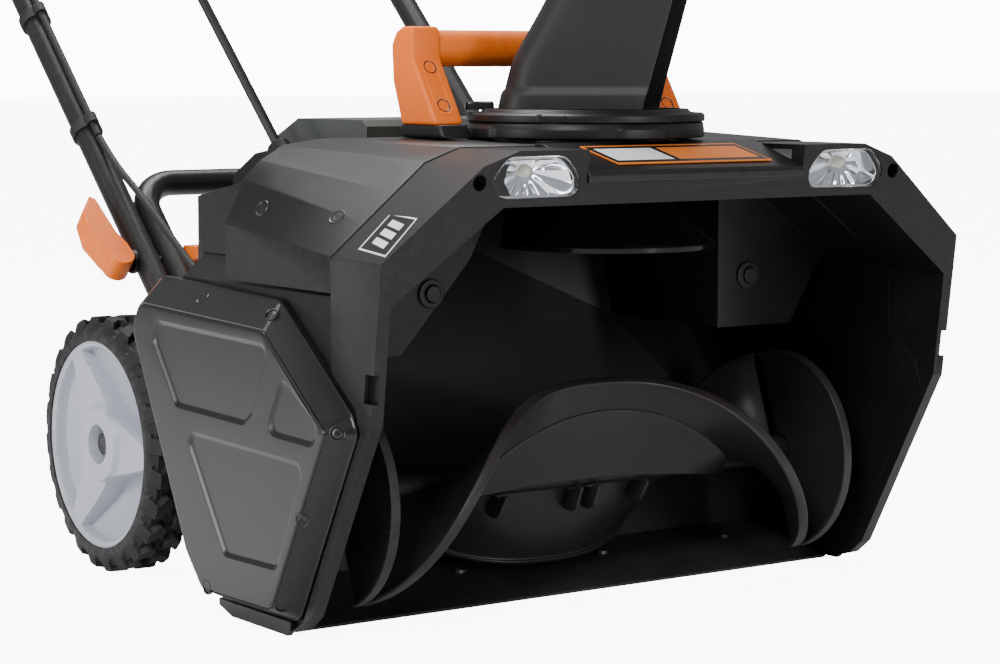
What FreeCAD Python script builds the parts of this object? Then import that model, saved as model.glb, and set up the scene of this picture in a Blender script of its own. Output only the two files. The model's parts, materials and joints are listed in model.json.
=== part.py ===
"""Battery snow blower: a 20 inch single-stage auger in a moulded housing, on two wheels.

Frame: millimetres, X to the right seen from the front, Y to the rear, Z up.
The origin is on the ground, in the middle of the scraper bar's underside.
"""
import FreeCAD, Part
import math
import os
import re
import Sketcher
from FreeCAD import Placement, Rotation, Vector

X_AXIS = Vector(1, 0, 0)
Y_AXIS = Vector(0, 1, 0)
Z_AXIS = Vector(0, 0, 1)
LEFT, RIGHT = -1, 1
SIDES = (("left", LEFT), ("right", RIGHT))

DIMENSIONS = {
    # housing and front frame
    "mouth_half": 257.0, "side_plate": 5.0, "frame_half": 267.5, "frame_top": 350.0,
    "opening_top": 311.0, "opening_half": 257.5, "seam_back": -105.0, "wall": 4.0,
    "hood_rear": 43.0, "hood_top": 354.0, "hood_base": 252.0, "outlet_radius": 66.0,
    # auger
    "auger_back": -24.0, "auger_high": 94.0, "auger_radius": 82.0, "auger_half": 207.0,
    "shaft_radius": 12.0, "web_thick": 3.0, "rim_wide": 8.0, "rim_thick": 3.5,
    # side covers
    "cover_inner": 262.3, "cover_rim": 6.0, "belt_cover_deep": 26.0, "side_cover_deep": 14.0,
    # scraper
    "scraper_half": 256.0, "screw_radius": 4.0,
    # chute
    "chute_back": -40.6, "ring_radius": 92.8, "inlet_radius": 72.0, "ring_low": 354.3,
    "ring_high": 366.0, "gear_radius": 91.0, "gear_top": 376.0, "chute_top": 545.0,
    # carry handle
    "post_out": 107.0, "post_half": 13.0, "bar_back": 33.0, "bar_high": 421.5, "bar_radius": 14.0,
    # wheels
    "wheel_back": 257.0, "wheel_high": 104.0, "tyre_radius": 104.0, "rim_radius": 84.0,
    "wheel_inner": 227.0, "wheel_outer": 270.0, "axle_radius": 6.0, "axle_half": 258.0,
    # handle
    "tube_radius": 11.0, "upper_half": 202.0, "lower_half": 179.0,
    "pivot_back": 295.0, "pivot_high": 247.3, "handle_angle": 44.0, "handle_long": 1010.0,
    "lower_bend": 35.0, "upper_bend": 60.0, "bolt_radius": 4.0,
    # battery bay
    "door_half": 115.0, "door_top": 366.0, "hinge_back": 84.5, "hinge_high": 354.6,
    # motor and belt
    "motor_back": 134.0, "motor_high": 202.0, "motor_radius": 28.0, "motor_shaft": 5.0,
    "auger_pulley": 40.0, "motor_pulley": 12.0,
    # control box and bail
    "box_low": 880.0, "box_half": 95.0, "bail_radius": 4.0,
    # cable and rod
    "cable_radius": 3.0, "rod_radius": 4.0, "rod_out": 136.0, "rod_lift": 141.7,
    "rod_low": -20.0, "rod_top": 800.0, "socket_radius": 9.7,
}

doc = FreeCAD.newDocument("snow_blower")
sheet = doc.addObject("Spreadsheet::Sheet", "dims")
for row, (word, number) in enumerate(DIMENSIONS.items(), start=1):
    sheet.set("A%d" % row, word)
    sheet.set("B%d" % row, str(number))
    sheet.setAlias("B%d" % row, word)
doc.recompute()
PARTS = []


def bound(text):
    """The expression text with each sheet word given its sheet's name."""
    return re.sub(r"[a-z]+(?:_[a-z]+)*", lambda found: "dims." + found.group(0), str(text))


def value(text):
    """The number that an expression of sheet words comes to."""
    if isinstance(text, (int, float)):
        return float(text)
    return float(sheet.evalExpression(bound(text)))


def bind(obj, prop, text):
    """Sets a property from the sheet, or from a plain number."""
    obj.setExpression(prop, bound(text))


def finish(obj, label):
    """Marks obj as a sub-part under that name."""
    obj.Label = label
    PARTS.append(obj)
    return obj


# ---------------------------------------------------------------- sketches and features

def new_body(name):
    return doc.addObject("PartDesign::Body", name)


def sketch(body, plane, start):
    """A sketch on one of the body's planes, start millimetres along X, Y or Z."""
    drawn = body.newObject("Sketcher::SketchObject", "sketch")
    role = plane + "_Plane"
    face = [item for item in body.Origin.OriginFeatures if item.Role == role][0]
    drawn.AttachmentSupport = [(face, "")]
    drawn.MapMode = "FlatFace"
    sign = "-1 * " if plane == "XZ" else ""
    bind(drawn, "AttachmentOffset.Base.z", "%s(%s)" % (sign, start))
    return drawn


def fix_point(drawn, geometry, point, place):
    """Ties a point of the sketch to two coordinates."""
    for kind, text in zip(("DistanceX", "DistanceY"), place):
        index = drawn.addConstraint(
            Sketcher.Constraint(kind, -1, 1, geometry, point, value(text)))
        if isinstance(text, str):
            drawn.setExpression("Constraints[%d]" % index, bound(text))


def draw_outline(drawn, corners):
    """A closed outline of straight edges through corners."""
    places = [Vector(value(a), value(b), 0) for a, b in corners]
    first = drawn.GeometryCount
    count = len(places)
    for i in range(count):
        drawn.addGeometry(Part.LineSegment(places[i], places[(i + 1) % count]), False)
    for i in range(count):
        following = first + (i + 1) % count
        drawn.addConstraint(Sketcher.Constraint("Coincident", first + i, 2, following, 1))
        fix_point(drawn, first + i, 1, corners[i])


def draw_circle(drawn, centre, radius):
    """A circle with its centre and radius tied."""
    middle = Vector(value(centre[0]), value(centre[1]), 0)
    index = drawn.addGeometry(Part.Circle(middle, Z_AXIS, value(radius)), False)
    fix_point(drawn, index, 3, centre)
    size = drawn.addConstraint(Sketcher.Constraint("Radius", index, value(radius)))
    if isinstance(radius, str):
        drawn.setExpression("Constraints[%d]" % size, bound(radius))


def prism(body, plane, start, length, outlines=(), circles=(), cut=False):
    """Adds or cuts a straight prism. It runs from start towards +X, -Y or +Z by length."""
    drawn = sketch(body, plane, start)
    for corners in outlines:
        draw_outline(drawn, corners)
    for centre, radius in circles:
        draw_circle(drawn, centre, radius)
    feature = body.newObject("PartDesign::Pocket" if cut else "PartDesign::Pad", "prism")
    feature.Profile = drawn
    bind(feature, "Length", length)
    if cut:
        feature.Reversed = True
    return feature


def loft(body, plane, sections, cut=False):
    """Adds or cuts a loft through outlines at the given starts."""
    drawn = []
    for start, corners in sections:
        section = sketch(body, plane, start)
        draw_outline(section, corners)
        drawn.append(section)
    kind = "PartDesign::SubtractiveLoft" if cut else "PartDesign::AdditiveLoft"
    feature = body.newObject(kind, "loft")
    feature.Profile = drawn[0]
    feature.Sections = drawn[1:]
    feature.Ruled = True
    return feature


def turn(body, corners, cut=False):
    """Adds or cuts a full turn of an outline drawn as (along, radius), about the body's X."""
    drawn = sketch(body, "XY", 0)
    draw_outline(drawn, corners)
    kind = "PartDesign::Groove" if cut else "PartDesign::Revolution"
    feature = body.newObject(kind, "turn")
    feature.Profile = drawn
    feature.ReferenceAxis = (drawn, ["H_Axis"])
    feature.Angle = 360
    return feature


def stand_up(body, back, low="0"):
    """Turns a body so that its X runs up, on the vertical line at that Y."""
    body.Placement = Placement(Vector(0, value(back), value(low)), Rotation(Y_AXIS, -90))
    bind(body, "Placement.Base.y", back)


def cylinder(name, radius, length, base, axis):
    """A Part cylinder bound to the sheet. It starts at base and runs along axis."""
    rod = doc.addObject("Part::Cylinder", name)
    bind(rod, "Radius", radius)
    bind(rod, "Height", length)
    rod.Placement = Placement(Vector(*[value(b) for b in base]), Rotation(Z_AXIS, axis))
    return rod


def block(name, low, size):
    """A Part box bound to the sheet, from its low corner."""
    box = doc.addObject("Part::Box", name)
    for prop, text in zip(("Length", "Width", "Height"), size):
        bind(box, prop, text)
    for letter, text in zip("xyz", low):
        bind(box, "Placement.Base." + letter, text)
    return box


def fused(name, members):
    joined = doc.addObject("Part::MultiFuse", name)
    joined.Shapes = members
    return joined


def group(name, members):
    """Separate solids kept together as one sub-part."""
    gathered = doc.addObject("Part::Compound", name)
    gathered.Links = members
    return gathered


def taken(name, base, tool):
    less = doc.addObject("Part::Cut", name)
    less.Base = base
    less.Tool = tool
    return less


def mirror_x(name, source):
    """The same piece on the other side of the YZ plane."""
    copy = doc.addObject("Part::Mirroring", name)
    copy.Source = source
    copy.Normal = X_AXIS
    copy.Base = Vector(0, 0, 0)
    return copy


def inset(corners, distances):
    """Corners of an outline moved in by a distance for each edge; edge i leaves corner i."""
    count = len(corners)
    area = sum(corners[i][0] * corners[(i + 1) % count][1]
               - corners[(i + 1) % count][0] * corners[i][1] for i in range(count))
    inward = 1 if area > 0 else -1
    lines = []
    for i in range(count):
        (ax, ay), (bx, by) = corners[i], corners[(i + 1) % count]
        length = math.hypot(bx - ax, by - ay)
        nx, ny = -(by - ay) / length * inward, (bx - ax) / length * inward
        lines.append((nx, ny, nx * ax + ny * ay + distances[i]))
    moved = []
    for i in range(count):
        a, b, c = lines[i - 1]
        d, e, f = lines[i]
        cross = a * e - b * d
        moved.append(((c * e - b * f) / cross, (a * f - c * d) / cross))
    return moved


def along_handle(distance, sideways=0.0):
    """The (y, z) of a point on the handle's line, measured up from its fold bolt."""
    angle = math.radians(value("handle_angle"))
    y = value("pivot_back") + distance * math.cos(angle) - sideways * math.sin(angle)
    z = value("pivot_high") + distance * math.sin(angle) + sideways * math.cos(angle)
    return y, z


def along_handle_axis():
    angle = math.radians(value("handle_angle"))
    return Vector(0, math.cos(angle), math.sin(angle))


def bent_path(points, radii):
    """One wire of straight runs through points, each corner rounded by its radius."""
    edges = []
    start = Vector(*points[0])
    for i in range(1, len(points) - 1):
        corner = Vector(*points[i])
        back = (Vector(*points[i - 1]) - corner).normalize()
        ahead = (Vector(*points[i + 1]) - corner).normalize()
        half = back.getAngle(ahead) / 2
        reach = radii[i - 1] / math.tan(half)
        first = corner + back * reach
        last = corner + ahead * reach
        middle_way = (back + ahead).normalize()
        centre = corner + middle_way * (radii[i - 1] / math.sin(half))
        middle = centre - middle_way * radii[i - 1]
        edges.append(Part.LineSegment(start, first).toShape())
        edges.append(Part.Arc(first, middle, last).toShape())
        start = last
    edges.append(Part.LineSegment(start, Vector(*points[-1])).toShape())
    return Part.Wire(edges)


def bent_tube(name, points, radii, radius):
    """A round tube or cable swept along a bent path."""
    path = doc.addObject("Part::Feature", name + "_path")
    path.Shape = bent_path(points, radii)
    section = doc.addObject("Part::Circle", name + "_section")
    bind(section, "Radius", radius)
    heading = (Vector(*points[1]) - Vector(*points[0])).normalize()
    section.Placement = Placement(Vector(*points[0]), Rotation(Z_AXIS, heading))
    swept = doc.addObject("Part::Sweep", name)
    swept.Sections = [section]
    swept.Spine = (path, ["Edge%d" % (i + 1) for i in range(len(path.Shape.Edges))])
    swept.Solid = True
    swept.Frenet = False
    return swept


def soft_radii(points):
    """The largest corner radii that a cable's runs allow."""
    radii = []
    for i in range(1, len(points) - 1):
        corner = Vector(*points[i])
        back = Vector(*points[i - 1]) - corner
        ahead = Vector(*points[i + 1]) - corner
        turn_angle = math.pi - back.getAngle(ahead)
        radii.append(0.45 * min(back.Length, ahead.Length) / math.tan(turn_angle / 2))
    return radii


# ---------------------------------------------------------------- housing

MOUTH_SECTION = [("-mouth_half", 0), ("-mouth_half", 247), (-171, "opening_top - 2"),
                 (171, "opening_top - 2"), ("mouth_half", 247), ("mouth_half", 0)]
SHELL_SECTION = [("-mouth_half - side_plate", 4), ("-mouth_half - side_plate", 249),
                 (-173, "opening_top + 3"), (173, "opening_top + 3"),
                 ("mouth_half + side_plate", 249), ("mouth_half + side_plate", 4)]
STEP_LINE = [("seam_back", 197.5), (-136, 174.5), (-142.5, 158), (-64, 13.5), (-46, 4)]
REAR_WALL = [(57, 13), (60, 66), (84, 150), (131, 312)]
LEFT_PANEL = [("-mouth_half", 196), (-168, 196), (-107, 264), (-88, 300),
              (-88, 312), ("-mouth_half", 312)]
RIGHT_PANEL = [(133, 312), (133, 200), (209, 200), (254, 272), ("mouth_half", 278),
               ("mouth_half", 312)]


CONE_SIDES = 32


def auger_housing():
    """Side plates and roof, curved rear wall, and two forward panels beside the outlet."""
    shell = new_body("housing_shell")
    prism(shell, "XZ", 140, 292, [SHELL_SECTION])
    prism(shell, "YZ", -300, 600, [[(-200, -20), (-200, 400), ("seam_back", 400)] + STEP_LINE
                                   + [(-46, -20)]], cut=True)
    prism(shell, "YZ", -300, 600, [[(64, -20), (64, 50), (92, 150), (136, 304), (136, 400),
                                    (200, 400), (200, -20)]], cut=True)
    hollow = new_body("housing_hollow")
    prism(hollow, "XZ", 145, 320, [MOUTH_SECTION])
    behind = [(y + 4, z) for y, z in REAR_WALL]
    rear = new_body("rear_wall")
    prism(rear, "YZ", "-mouth_half - 1", "2 * mouth_half + 2", [REAR_WALL + behind[::-1]])
    blocks = []
    for name, corners in (("left_panel", LEFT_PANEL), ("right_panel", RIGHT_PANEL)):
        numbers = [(value(a), value(b)) for a, b in corners]
        panel = new_body(name)
        prism(panel, "XZ", 135, 175, [numbers])
        prism(panel, "XZ", 140, 176, [inset(numbers, [3.5] * len(numbers))], cut=True)
        prism(panel, "YZ", -300, 600, [[(62, 60), (86, 150), (135, 318), (200, 318),
                                        (200, 60)]], cut=True)
        blocks.append(panel)
    plates = []
    plate_outline = STEP_LINE + [(53, 4), (84, 47.5), (168, 212), (145, 246), ("seam_back", 246)]
    for name, start in (("left", "-mouth_half - side_plate"), ("right", "mouth_half")):
        plate = new_body("side_plate_" + name)
        prism(plate, "YZ", start, "side_plate", [plate_outline])
        plates.append(plate)
    open_shell = taken("open_shell", shell, hollow)
    joined = fused("joined_housing", [open_shell, rear] + blocks + plates)
    outlet = cylinder("outlet", "outlet_radius", 40, (0, "chute_back", 290), Z_AXIS)
    bearing_seat = cylinder("bearing_seat", 26, 600, (-300, "auger_back", "auger_high"), X_AXIS)
    shaft_hole = cylinder("shaft_hole", 9, 40, (-280, "motor_back", "motor_high"), X_AXIS)
    above_roof = new_body("above_roof")
    prism(above_roof, "XZ", 150, 300, [
        [(side * 290, 228.5), (side * 262, 249), (side * 173, 314), (side * 173, 400),
         (side * 400, 400)] for side in (LEFT, RIGHT)])
    less = fused("housing_holes", [outlet, bearing_seat, shaft_hole, above_roof])
    return finish(taken("auger_housing_cut", joined, less), "auger_housing")


def front_frame():
    """The deep moulded frame round the mouth, leaning with the front of the machine."""
    frame = new_body("front_frame")
    outer = [("-frame_half", 0), ("-frame_half", 276), (-189, 340), (-160, "frame_top"),
             (160, "frame_top"), (189, 340), ("frame_half", 276), ("frame_half", 0)]
    inner = [("opening_half", 0), ("opening_half", 246), (170, "opening_top"),
             (-170, "opening_top"), ("-opening_half", 246), ("-opening_half", 0)]
    prism(frame, "XZ", -40, 150, [outer + inner])
    prism(frame, "YZ", -300, 600, [[(-240, -20), (-240, 380), (-183, 380), (-156.4, 165),
                                    (-77, 20), (-62, 8), (-46, 3.5), (-46, -20)]], cut=True)
    prism(frame, "YZ", -300, 600, [[("seam_back", 380)] + STEP_LINE
                                   + [(-46, -20), (0, -20), (0, 380)]], cut=True)
    cavity = [(-156, 346), (-185, 337), (-250, 284), (-250, 262), (-172, 315.5),
              (172, 315.5), (250, 262), (250, 284), (185, 337), (156, 346)]
    prism(frame, "XZ", "seam_back + 1", 60, [cavity], cut=True)
    lamp_holes = [lamp_outline(side, 0) for _, side in SIDES]
    prism(frame, "XZ", -150, 60, lamp_holes,
          [((side * 191.5, 328.7), 5.5) for _, side in SIDES], cut=True)
    prism(frame, "YZ", -100, 200, [[(-190, 326), (-178, 326), (-112, 348.5), (-112, 360),
                                    (-190, 360)]], cut=True)
    slot = [(-169, 180), (-169, 200), (-150, 200), (-147, 180)]
    prism(frame, "YZ", -280, 18, [slot], cut=True)
    prism(frame, "YZ", 262, 18, [slot], cut=True)
    return finish(frame, "front_frame")


def lamp_outline(side, gap):
    """Outline of one head lamp, made smaller by gap."""
    corners = [(105, 331), (119, 346.5), (169, 346.5), (183, 328), (174, 316.5), (108, 317)]
    corners = inset([(side * x, z) for x, z in corners], [gap] * len(corners))
    return softened(corners, 6.5 - gap / 2)


def softened(corners, reach):
    """An outline with each corner replaced by three points on a curve of that reach."""
    points = []
    for i, corner in enumerate(corners):
        middle = Vector(*corner, 0)
        before = Vector(*corners[i - 1], 0) - middle
        after = Vector(*corners[(i + 1) % len(corners)], 0) - middle
        first = middle + before.normalize() * reach
        last = middle + after.normalize() * reach
        crown = (first + last + middle * 2) / 4
        points += [(p.x, p.y) for p in (first, crown, last)]
    return points


def hood():
    """The shell over the top, from the frame's seam to the battery bay."""
    cover = new_body("hood")
    front = [(267.5, "hood_base"), (267.5, 277), (240, 299.5), (214, 320.6), (189, 341),
             (160, "frame_top + 1")]
    rear = [(267.5, "hood_base"), (267.5, 293), (252, 326), (237.5, 339), (218, 350),
            (186, "hood_top")]
    sections = []
    for start, half in (("hood_rear", rear), ("seam_back + 0.1", front)):
        numbers = [(value(a), value(b)) for a, b in half]
        outside = numbers + [(-a, b) for a, b in numbers[::-1]]
        inside = inset(outside, [value("wall")] * (len(outside) - 1) + [0])
        sections.append((start, outside + inside[::-1]))
    loft(cover, "XZ", sections)
    prism(cover, "XY", 300, 80, [], [((0, "chute_back"), "outlet_radius")], cut=True)
    return finish(cover, "hood")


def rear_body():
    """The rear shell round the motor and the battery bay, fitted over the housing."""
    shell = new_body("rear_shell")
    side = [(43.2, 252), (43.2, 326), (136, 309), (136, 252), (166, 238), (172, 165),
            (90, 165), (118, 252)]
    middle = [(43.2, 330), (43.2, 350), (150, 346), (205, 338), (240, 320), (246, 290),
              (236, 150), (80, 150), (118, 250), (120, 330)]
    prism(shell, "YZ", -240, 480, [side])
    prism(shell, "YZ", -150, 300, [middle])
    prism(shell, "YZ", -236, 472, [[(40, 240), (40, 321), (132, 304.5), (132, 249.5),
                                    (162.5, 235), (168, 169), (60, 169)]], cut=True)
    prism(shell, "YZ", -146, 292, [[(40, 300), (40, 346), (150, 342), (204, 334), (236.5, 317.5),
                                    (242, 290), (232, 154), (60, 154), (60, 300)]], cut=True)
    prism(shell, "XY", 320, 60, [[(-104, 139), (-104, 228), (104, 228), (104, 139)]], cut=True)
    around = new_body("housing_envelope")
    gap = 0.3
    section = inset([(value(a), value(b)) for a, b in SHELL_SECTION],
                    [-gap] * (len(SHELL_SECTION) - 1) + [gap])
    prism(around, "XZ", 141, 141, [section])
    prism(around, "YZ", -300, 600, [[(64.4, 60), (92.4, 150), (140.5, 314.4), (160, 314.4),
                                     (160, 60)]], cut=True)
    shaft_hole = cylinder("rear_shaft_hole", 9, 40, (-260, "motor_back", "motor_high"), X_AXIS)
    rod_foot = along_handle(-40, value("rod_lift"))
    rod_hole = cylinder("rod_socket_hole", "socket_radius + 0.1", 60, ("-rod_out",) + rod_foot,
                        along_handle_axis())
    less = fused("rear_body_less", [around, shaft_hole, rod_hole])
    tray = block("tray", (-147, 140.8, 252), (294, 97, 5))
    cut_shell = taken("cut_rear_body", shell, less)
    return finish(fused("rear_body_and_tray", [cut_shell, tray]), "rear_body")


def battery_packs():
    """The two battery packs that stand on the rear body's tray."""
    packs = []
    outline = [(142, 257.2), (142, 338), (148, 343.5), (190, 343.5), (214, 330), (222, 316),
               (222, 257.2)]
    for name, side in SIDES:
        pack = new_body("pack_" + name)
        prism(pack, "YZ", -98 if side == LEFT else 6, 92, [outline])
        packs.append(pack)
    return finish(group("packs", packs), "battery_packs")


def battery_door():
    """Smoked door over the packs, with its hinge knuckles along the front edge."""
    door = new_body("door_shell")
    prism(door, "YZ", "-door_half", "2 * door_half",
          [[(90, 349.5), (90, 361), (97, "door_top"), (195, "door_top"), (232, 350), (250, 318),
            (246.9, 316.5), (240.8, 321), (205.4, 338.9), (150, 347)]])
    prism(door, "YZ", "-door_half + 2.5", "2 * door_half - 5",
          [[(92.5, 330), (92.5, 360), (98, "door_top - 2.5"), (194.4, "door_top - 2.5"),
            (230, 348.3), (246, 320), (244, 300)]], cut=True)
    pieces = [door]
    pin_place = ("hinge_back", "hinge_high")
    for name, side in SIDES:
        knuckle = new_body("knuckle_" + name)
        low = -62 if side == LEFT else 22
        prism(knuckle, "YZ", low, 40, [[(81, 349.6), (79, 356), (83, 359.5), (90.5, 359.5),
                                        (90.5, 351), (84, 349.6)]])
        pieces.append(knuckle)
    whole = fused("door_whole", pieces)
    bore = cylinder("knuckle_bore", 2.65, 160, (-80,) + pin_place, X_AXIS)
    finish(taken("door_cut", whole, bore), "battery_door")
    pin = cylinder("pin", 2.5, 136, (-68,) + pin_place, X_AXIS)
    lugs = []
    for i, x in enumerate((-68, 62.5)):
        lugs.append(block("lug_%d" % i, (x, 79, 348.9), (5.5, 9.4, 9)))
    return finish(fused("door_pin", [pin] + lugs), "door_hinge_pin")


COVER_OUTLINE = [(145, 248.5), (-37, 242.6), (-133, 170.7), (-141, 158), (-61, 14),
                 (53, 12.4), (86, 47.5), (171, 212)]
COVER_BEVELS = [20, 11, 10, 10, 10, 10, 12, 14]


def cover_shell(name, depth):
    """A bevelled cover shell on its outline, with its open side at X 0."""
    cover = new_body(name)
    rim = value("cover_rim")
    thick = 3.0
    face = inset(COVER_OUTLINE, COVER_BEVELS)
    inner = inset(COVER_OUTLINE, [thick] * len(COVER_OUTLINE))
    inner_face = inset(COVER_OUTLINE, [b + 1 for b in COVER_BEVELS])
    loft(cover, "YZ", [(0, COVER_OUTLINE), (rim, COVER_OUTLINE), (depth, face)])
    loft(cover, "YZ", [(-1, inner), (rim, inner), (depth - thick, inner_face)], cut=True)
    holes = [(place, "screw_radius + 0.2") for place in COVER_SCREWS]
    prism(cover, "YZ", -1, depth + 2, [], holes, cut=True)
    return cover


def belt_cover():
    """Left cover over the belt, with three recessed panels in its face."""
    depth = value("belt_cover_deep")
    cover = cover_shell("belt_cover_shape", depth)
    panels = [
        [(112.5, 218), (-57, 214), (-30, 160), (-18, 151.5), (85, 154), (123, 203)],
        [(-72, 194), (-114, 166), (-112, 148), (-46, 148.7)],
        [(75, 139.7), (-104, 135.3), (-60, 53), (13, 51.5)],
    ]
    prism(cover, "YZ", depth - 1.2, 5, panels, cut=True)
    turned = mirror_x("belt_cover", cover)
    turned.Placement = Placement(Vector(-value("cover_inner"), 0, 0), Rotation())
    bind(turned, "Placement.Base.x", "-cover_inner")
    return finish(turned, "belt_cover")


def side_cover():
    """Right cover over the auger's end, a shallower copy of the left one."""
    cover = cover_shell("side_cover", value("side_cover_deep"))
    bind(cover, "Placement.Base.x", "cover_inner")
    return finish(cover, "side_cover")


COVER_SCREWS = [(62, 237), (-40, 233), (-133, 159), (-95, 94), (-60, 27), (40, 25)]
POST_FOOT = (-22, 354.1)
POST_HEAD = (16, 412.5)
POST_SCREWS = (0.42, 0.91)


def case_screws():
    """The screws of both side covers, the carry handle and the scraper bar."""
    screws = []
    reach = {LEFT: "belt_cover_deep * 0.62", RIGHT: "side_cover_deep * 0.62"}
    for name, side in SIDES:
        heading = X_AXIS * side
        for i, (y, z) in enumerate(COVER_SCREWS):
            start = (side * value("cover_inner"), y, z)
            screws.append(cylinder("cover_screw_%s_%d" % (name, i), "screw_radius",
                                   reach[side], start, heading))
        for i, share in enumerate(POST_SCREWS):
            y = POST_FOOT[0] + share * (POST_HEAD[0] - POST_FOOT[0])
            z = POST_FOOT[1] + share * (POST_HEAD[1] - POST_FOOT[1])
            forward = Vector(0, POST_FOOT[1] - POST_HEAD[1], POST_HEAD[0] - POST_FOOT[0])
            screws.append(cylinder("post_screw_%s_%d" % (name, i), "screw_radius", 2.5,
                                   (side * value("post_out"), y, z), forward))
        for i, x in enumerate((200, 70)):
            screws.append(cylinder("scraper_screw_%s_%d" % (name, i), "screw_radius", 3,
                                   (side * x, 30, 15.7), Z_AXIS))
    return finish(group("screws", screws), "case_screws")


# ---------------------------------------------------------------- front pieces

def name_panel():
    """Blank inlaid panel in the recess at the top of the frame."""
    panel = new_body("name_panel")
    prism(panel, "YZ", -99.8, 199.6, [[(-178.5, 326.3), (-112.5, 348.8), (-112.5, 352.5),
                                       (-121, 352.8), (-177, 335), (-179, 332)]])
    return finish(panel, "name_panel")


def lamps():
    """Reflector cups with their light sources, and clear lenses, one of each per side."""
    cups = []
    lenses = []
    for name, side in SIDES:
        cup = new_body("lamp_cup_" + name)
        prism(cup, "XZ", -154, 17, [lamp_outline(side, 0.4)])
        prism(cup, "XZ", -157, 30, [lamp_outline(side, 2.4)], cut=True)
        tilt = [(-190, 300), (-190, 360), (-177.4, 360), (-171.6, 300)]
        prism(cup, "YZ", -300, 600, [tilt], cut=True)
        source = cylinder("lamp_source_" + name, 6, 6, (side * 138, -157, 331), -Y_AXIS)
        cups.append(fused("lamp_reflector_" + name, [cup, source]))
        lens = new_body("lamp_lens_" + name)
        prism(lens, "XZ", -160, 25, [lamp_outline(side, 0.4)])
        prism(lens, "YZ", -300, 600, [[(-200, 300), (-200, 360), (-179.6, 360),
                                       (-173.1, 300)]], cut=True)
        prism(lens, "YZ", -300, 600, [[(-100, 300), (-100, 360), (-177.4, 360),
                                       (-171.6, 300)]], cut=True)
        lenses.append(lens)
    finish(group("lamp_cups", cups), "lamp_reflectors")
    return finish(group("lamp_fronts", lenses), "lamp_lenses")


def scraper_bar():
    """Replaceable edge along the ground, rising a little towards the rear."""
    bar = new_body("scraper_bar")
    prism(bar, "YZ", "-scraper_half", "2 * scraper_half",
          [[(-35, 1), (-34, 0), (22, 0), (56.5, 17), (56.5, 20.5), (-8, 6.5), (-35, 2.6)]])
    return finish(bar, "scraper_bar")


def skid_shoes():
    """Hard shoes under the rear corners of the housing."""
    shoes = []
    outline = [(-45.8, 4), (-41, 0), (40, 0), (60, 6), (60, 11.5), (-45.8, 11.5)]
    for name, side in SIDES:
        shoe = new_body("skid_" + name)
        low = -267 if side == LEFT else 262.2
        prism(shoe, "YZ", low, 4.8, [outline])
        shoes.append(shoe)
    return finish(group("skids", shoes), "skid_shoes")


def intake_cone():
    """Funnel that leads snow from the mouth up into the chute's ring, leaning forwards."""
    cone = new_body("intake_funnel")
    for grow, cut in ((0, False), (-3, True)):
        sections = []
        for start, back, radius in ((272, -68, 82), (277, -68, 82), (306, "chute_back", 62.8),
                                    (330, "chute_back", 63), (352.5, "chute_back", 63)):
            corners = []
            for i in range(CONE_SIDES):
                angle = 2 * math.pi * (i + 0.5) / CONE_SIDES
                corners.append(((radius + grow) * math.cos(angle),
                                value(back) + (radius + grow) * math.sin(angle)))
            sections.append((start, corners))
        if cut:
            sections = [(271, sections[0][1])] + sections[1:-1] + [(354, sections[-1][1])]
        loft(cone, "XY", sections, cut=cut)
    return finish(cone, "intake_cone")


def wall_bolts():
    """Two bolts with wide caps that hold the outlet plate to the forward panels."""
    caps = []
    for name, x in (("left", -142), ("right", 163)):
        cap = cylinder("wall_cap_" + name, 11, 2.5, (x, -40, 241), -Y_AXIS)
        head = cylinder("wall_head_" + name, 6.5, 5.5, (x, -40, 241), -Y_AXIS)
        caps.append(fused("wall_bolt_" + name, [cap, head]))
    return finish(group("wall_caps", caps), "wall_bolts")


# ---------------------------------------------------------------- auger

def blade_angle(x):
    """Angle of a blade's rim at x: nearly level in the middle and steep at the ends."""
    return 114.0 + 136.4 * (abs(x) / value("auger_half")) ** 2.3


def rib_section(x, angle, slope):
    """One T-shaped cross-section of a blade: a radial web under a wider rim."""
    middle = Vector(x, value("auger_back"), value("auger_high"))
    outward = Vector(0, math.cos(angle), math.sin(angle))
    forward = Vector(0, -math.sin(angle), math.cos(angle))
    across = (forward * math.cos(slope) - X_AXIS * math.sin(slope)).normalize()
    root = value("shaft_radius") + 0.35
    rim = value("auger_radius")
    under = rim - value("rim_thick")
    web = value("web_thick") / 2
    lip = value("rim_wide") / 2
    corners = [(root, -web), (under, -web), (under, -lip), (rim, -lip), (rim, lip),
               (under, lip), (under, web), (root, web)]
    points = [middle + outward * r + across * w for r, w in corners]
    return Part.makePolygon(points + points[:1])


def blade_shape(turned):
    """A blade that arches over the whole width, as a loft of its cross-sections."""
    half = value("auger_half")
    rim = value("auger_radius")
    stations = 17
    sections = []
    for i in range(stations):
        x = half * math.sin(math.pi / 2 * (2 * i / (stations - 1) - 1))
        angle = math.radians(blade_angle(x) + turned)
        step = math.radians(136.4) * 2.3 / half * (abs(x) / half) ** 1.3
        slope = math.atan(rim * step) * (1 if x > 0 else -1)
        sections.append(rib_section(x, angle, slope))
    return Part.makeLoft(sections, True, False)


def end_web(side):
    """Half disc that joins the ends of the two blades, with the same rim."""
    first, span = 70.5, 179.0
    x = side * (value("auger_half") + value("rim_wide") - 0.1)
    root = value("shaft_radius") + 0.35
    rim = value("auger_radius")
    under = rim - value("rim_thick")
    web = value("web_thick") / 2
    lip = value("rim_wide") / 2
    corners = [(root, -web), (under, -web), (under, -lip), (rim, -lip), (rim, lip),
               (under, lip), (under, web), (root, web)]
    angle = math.radians(first)
    points = [Vector(x + w, value("auger_back") + r * math.cos(angle),
                     value("auger_high") + r * math.sin(angle)) for r, w in corners]
    face = Part.Face(Part.makePolygon(points + points[:1]))
    middle = Vector(x, value("auger_back"), value("auger_high"))
    return face.revolve(middle, X_AXIS, span)


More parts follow.
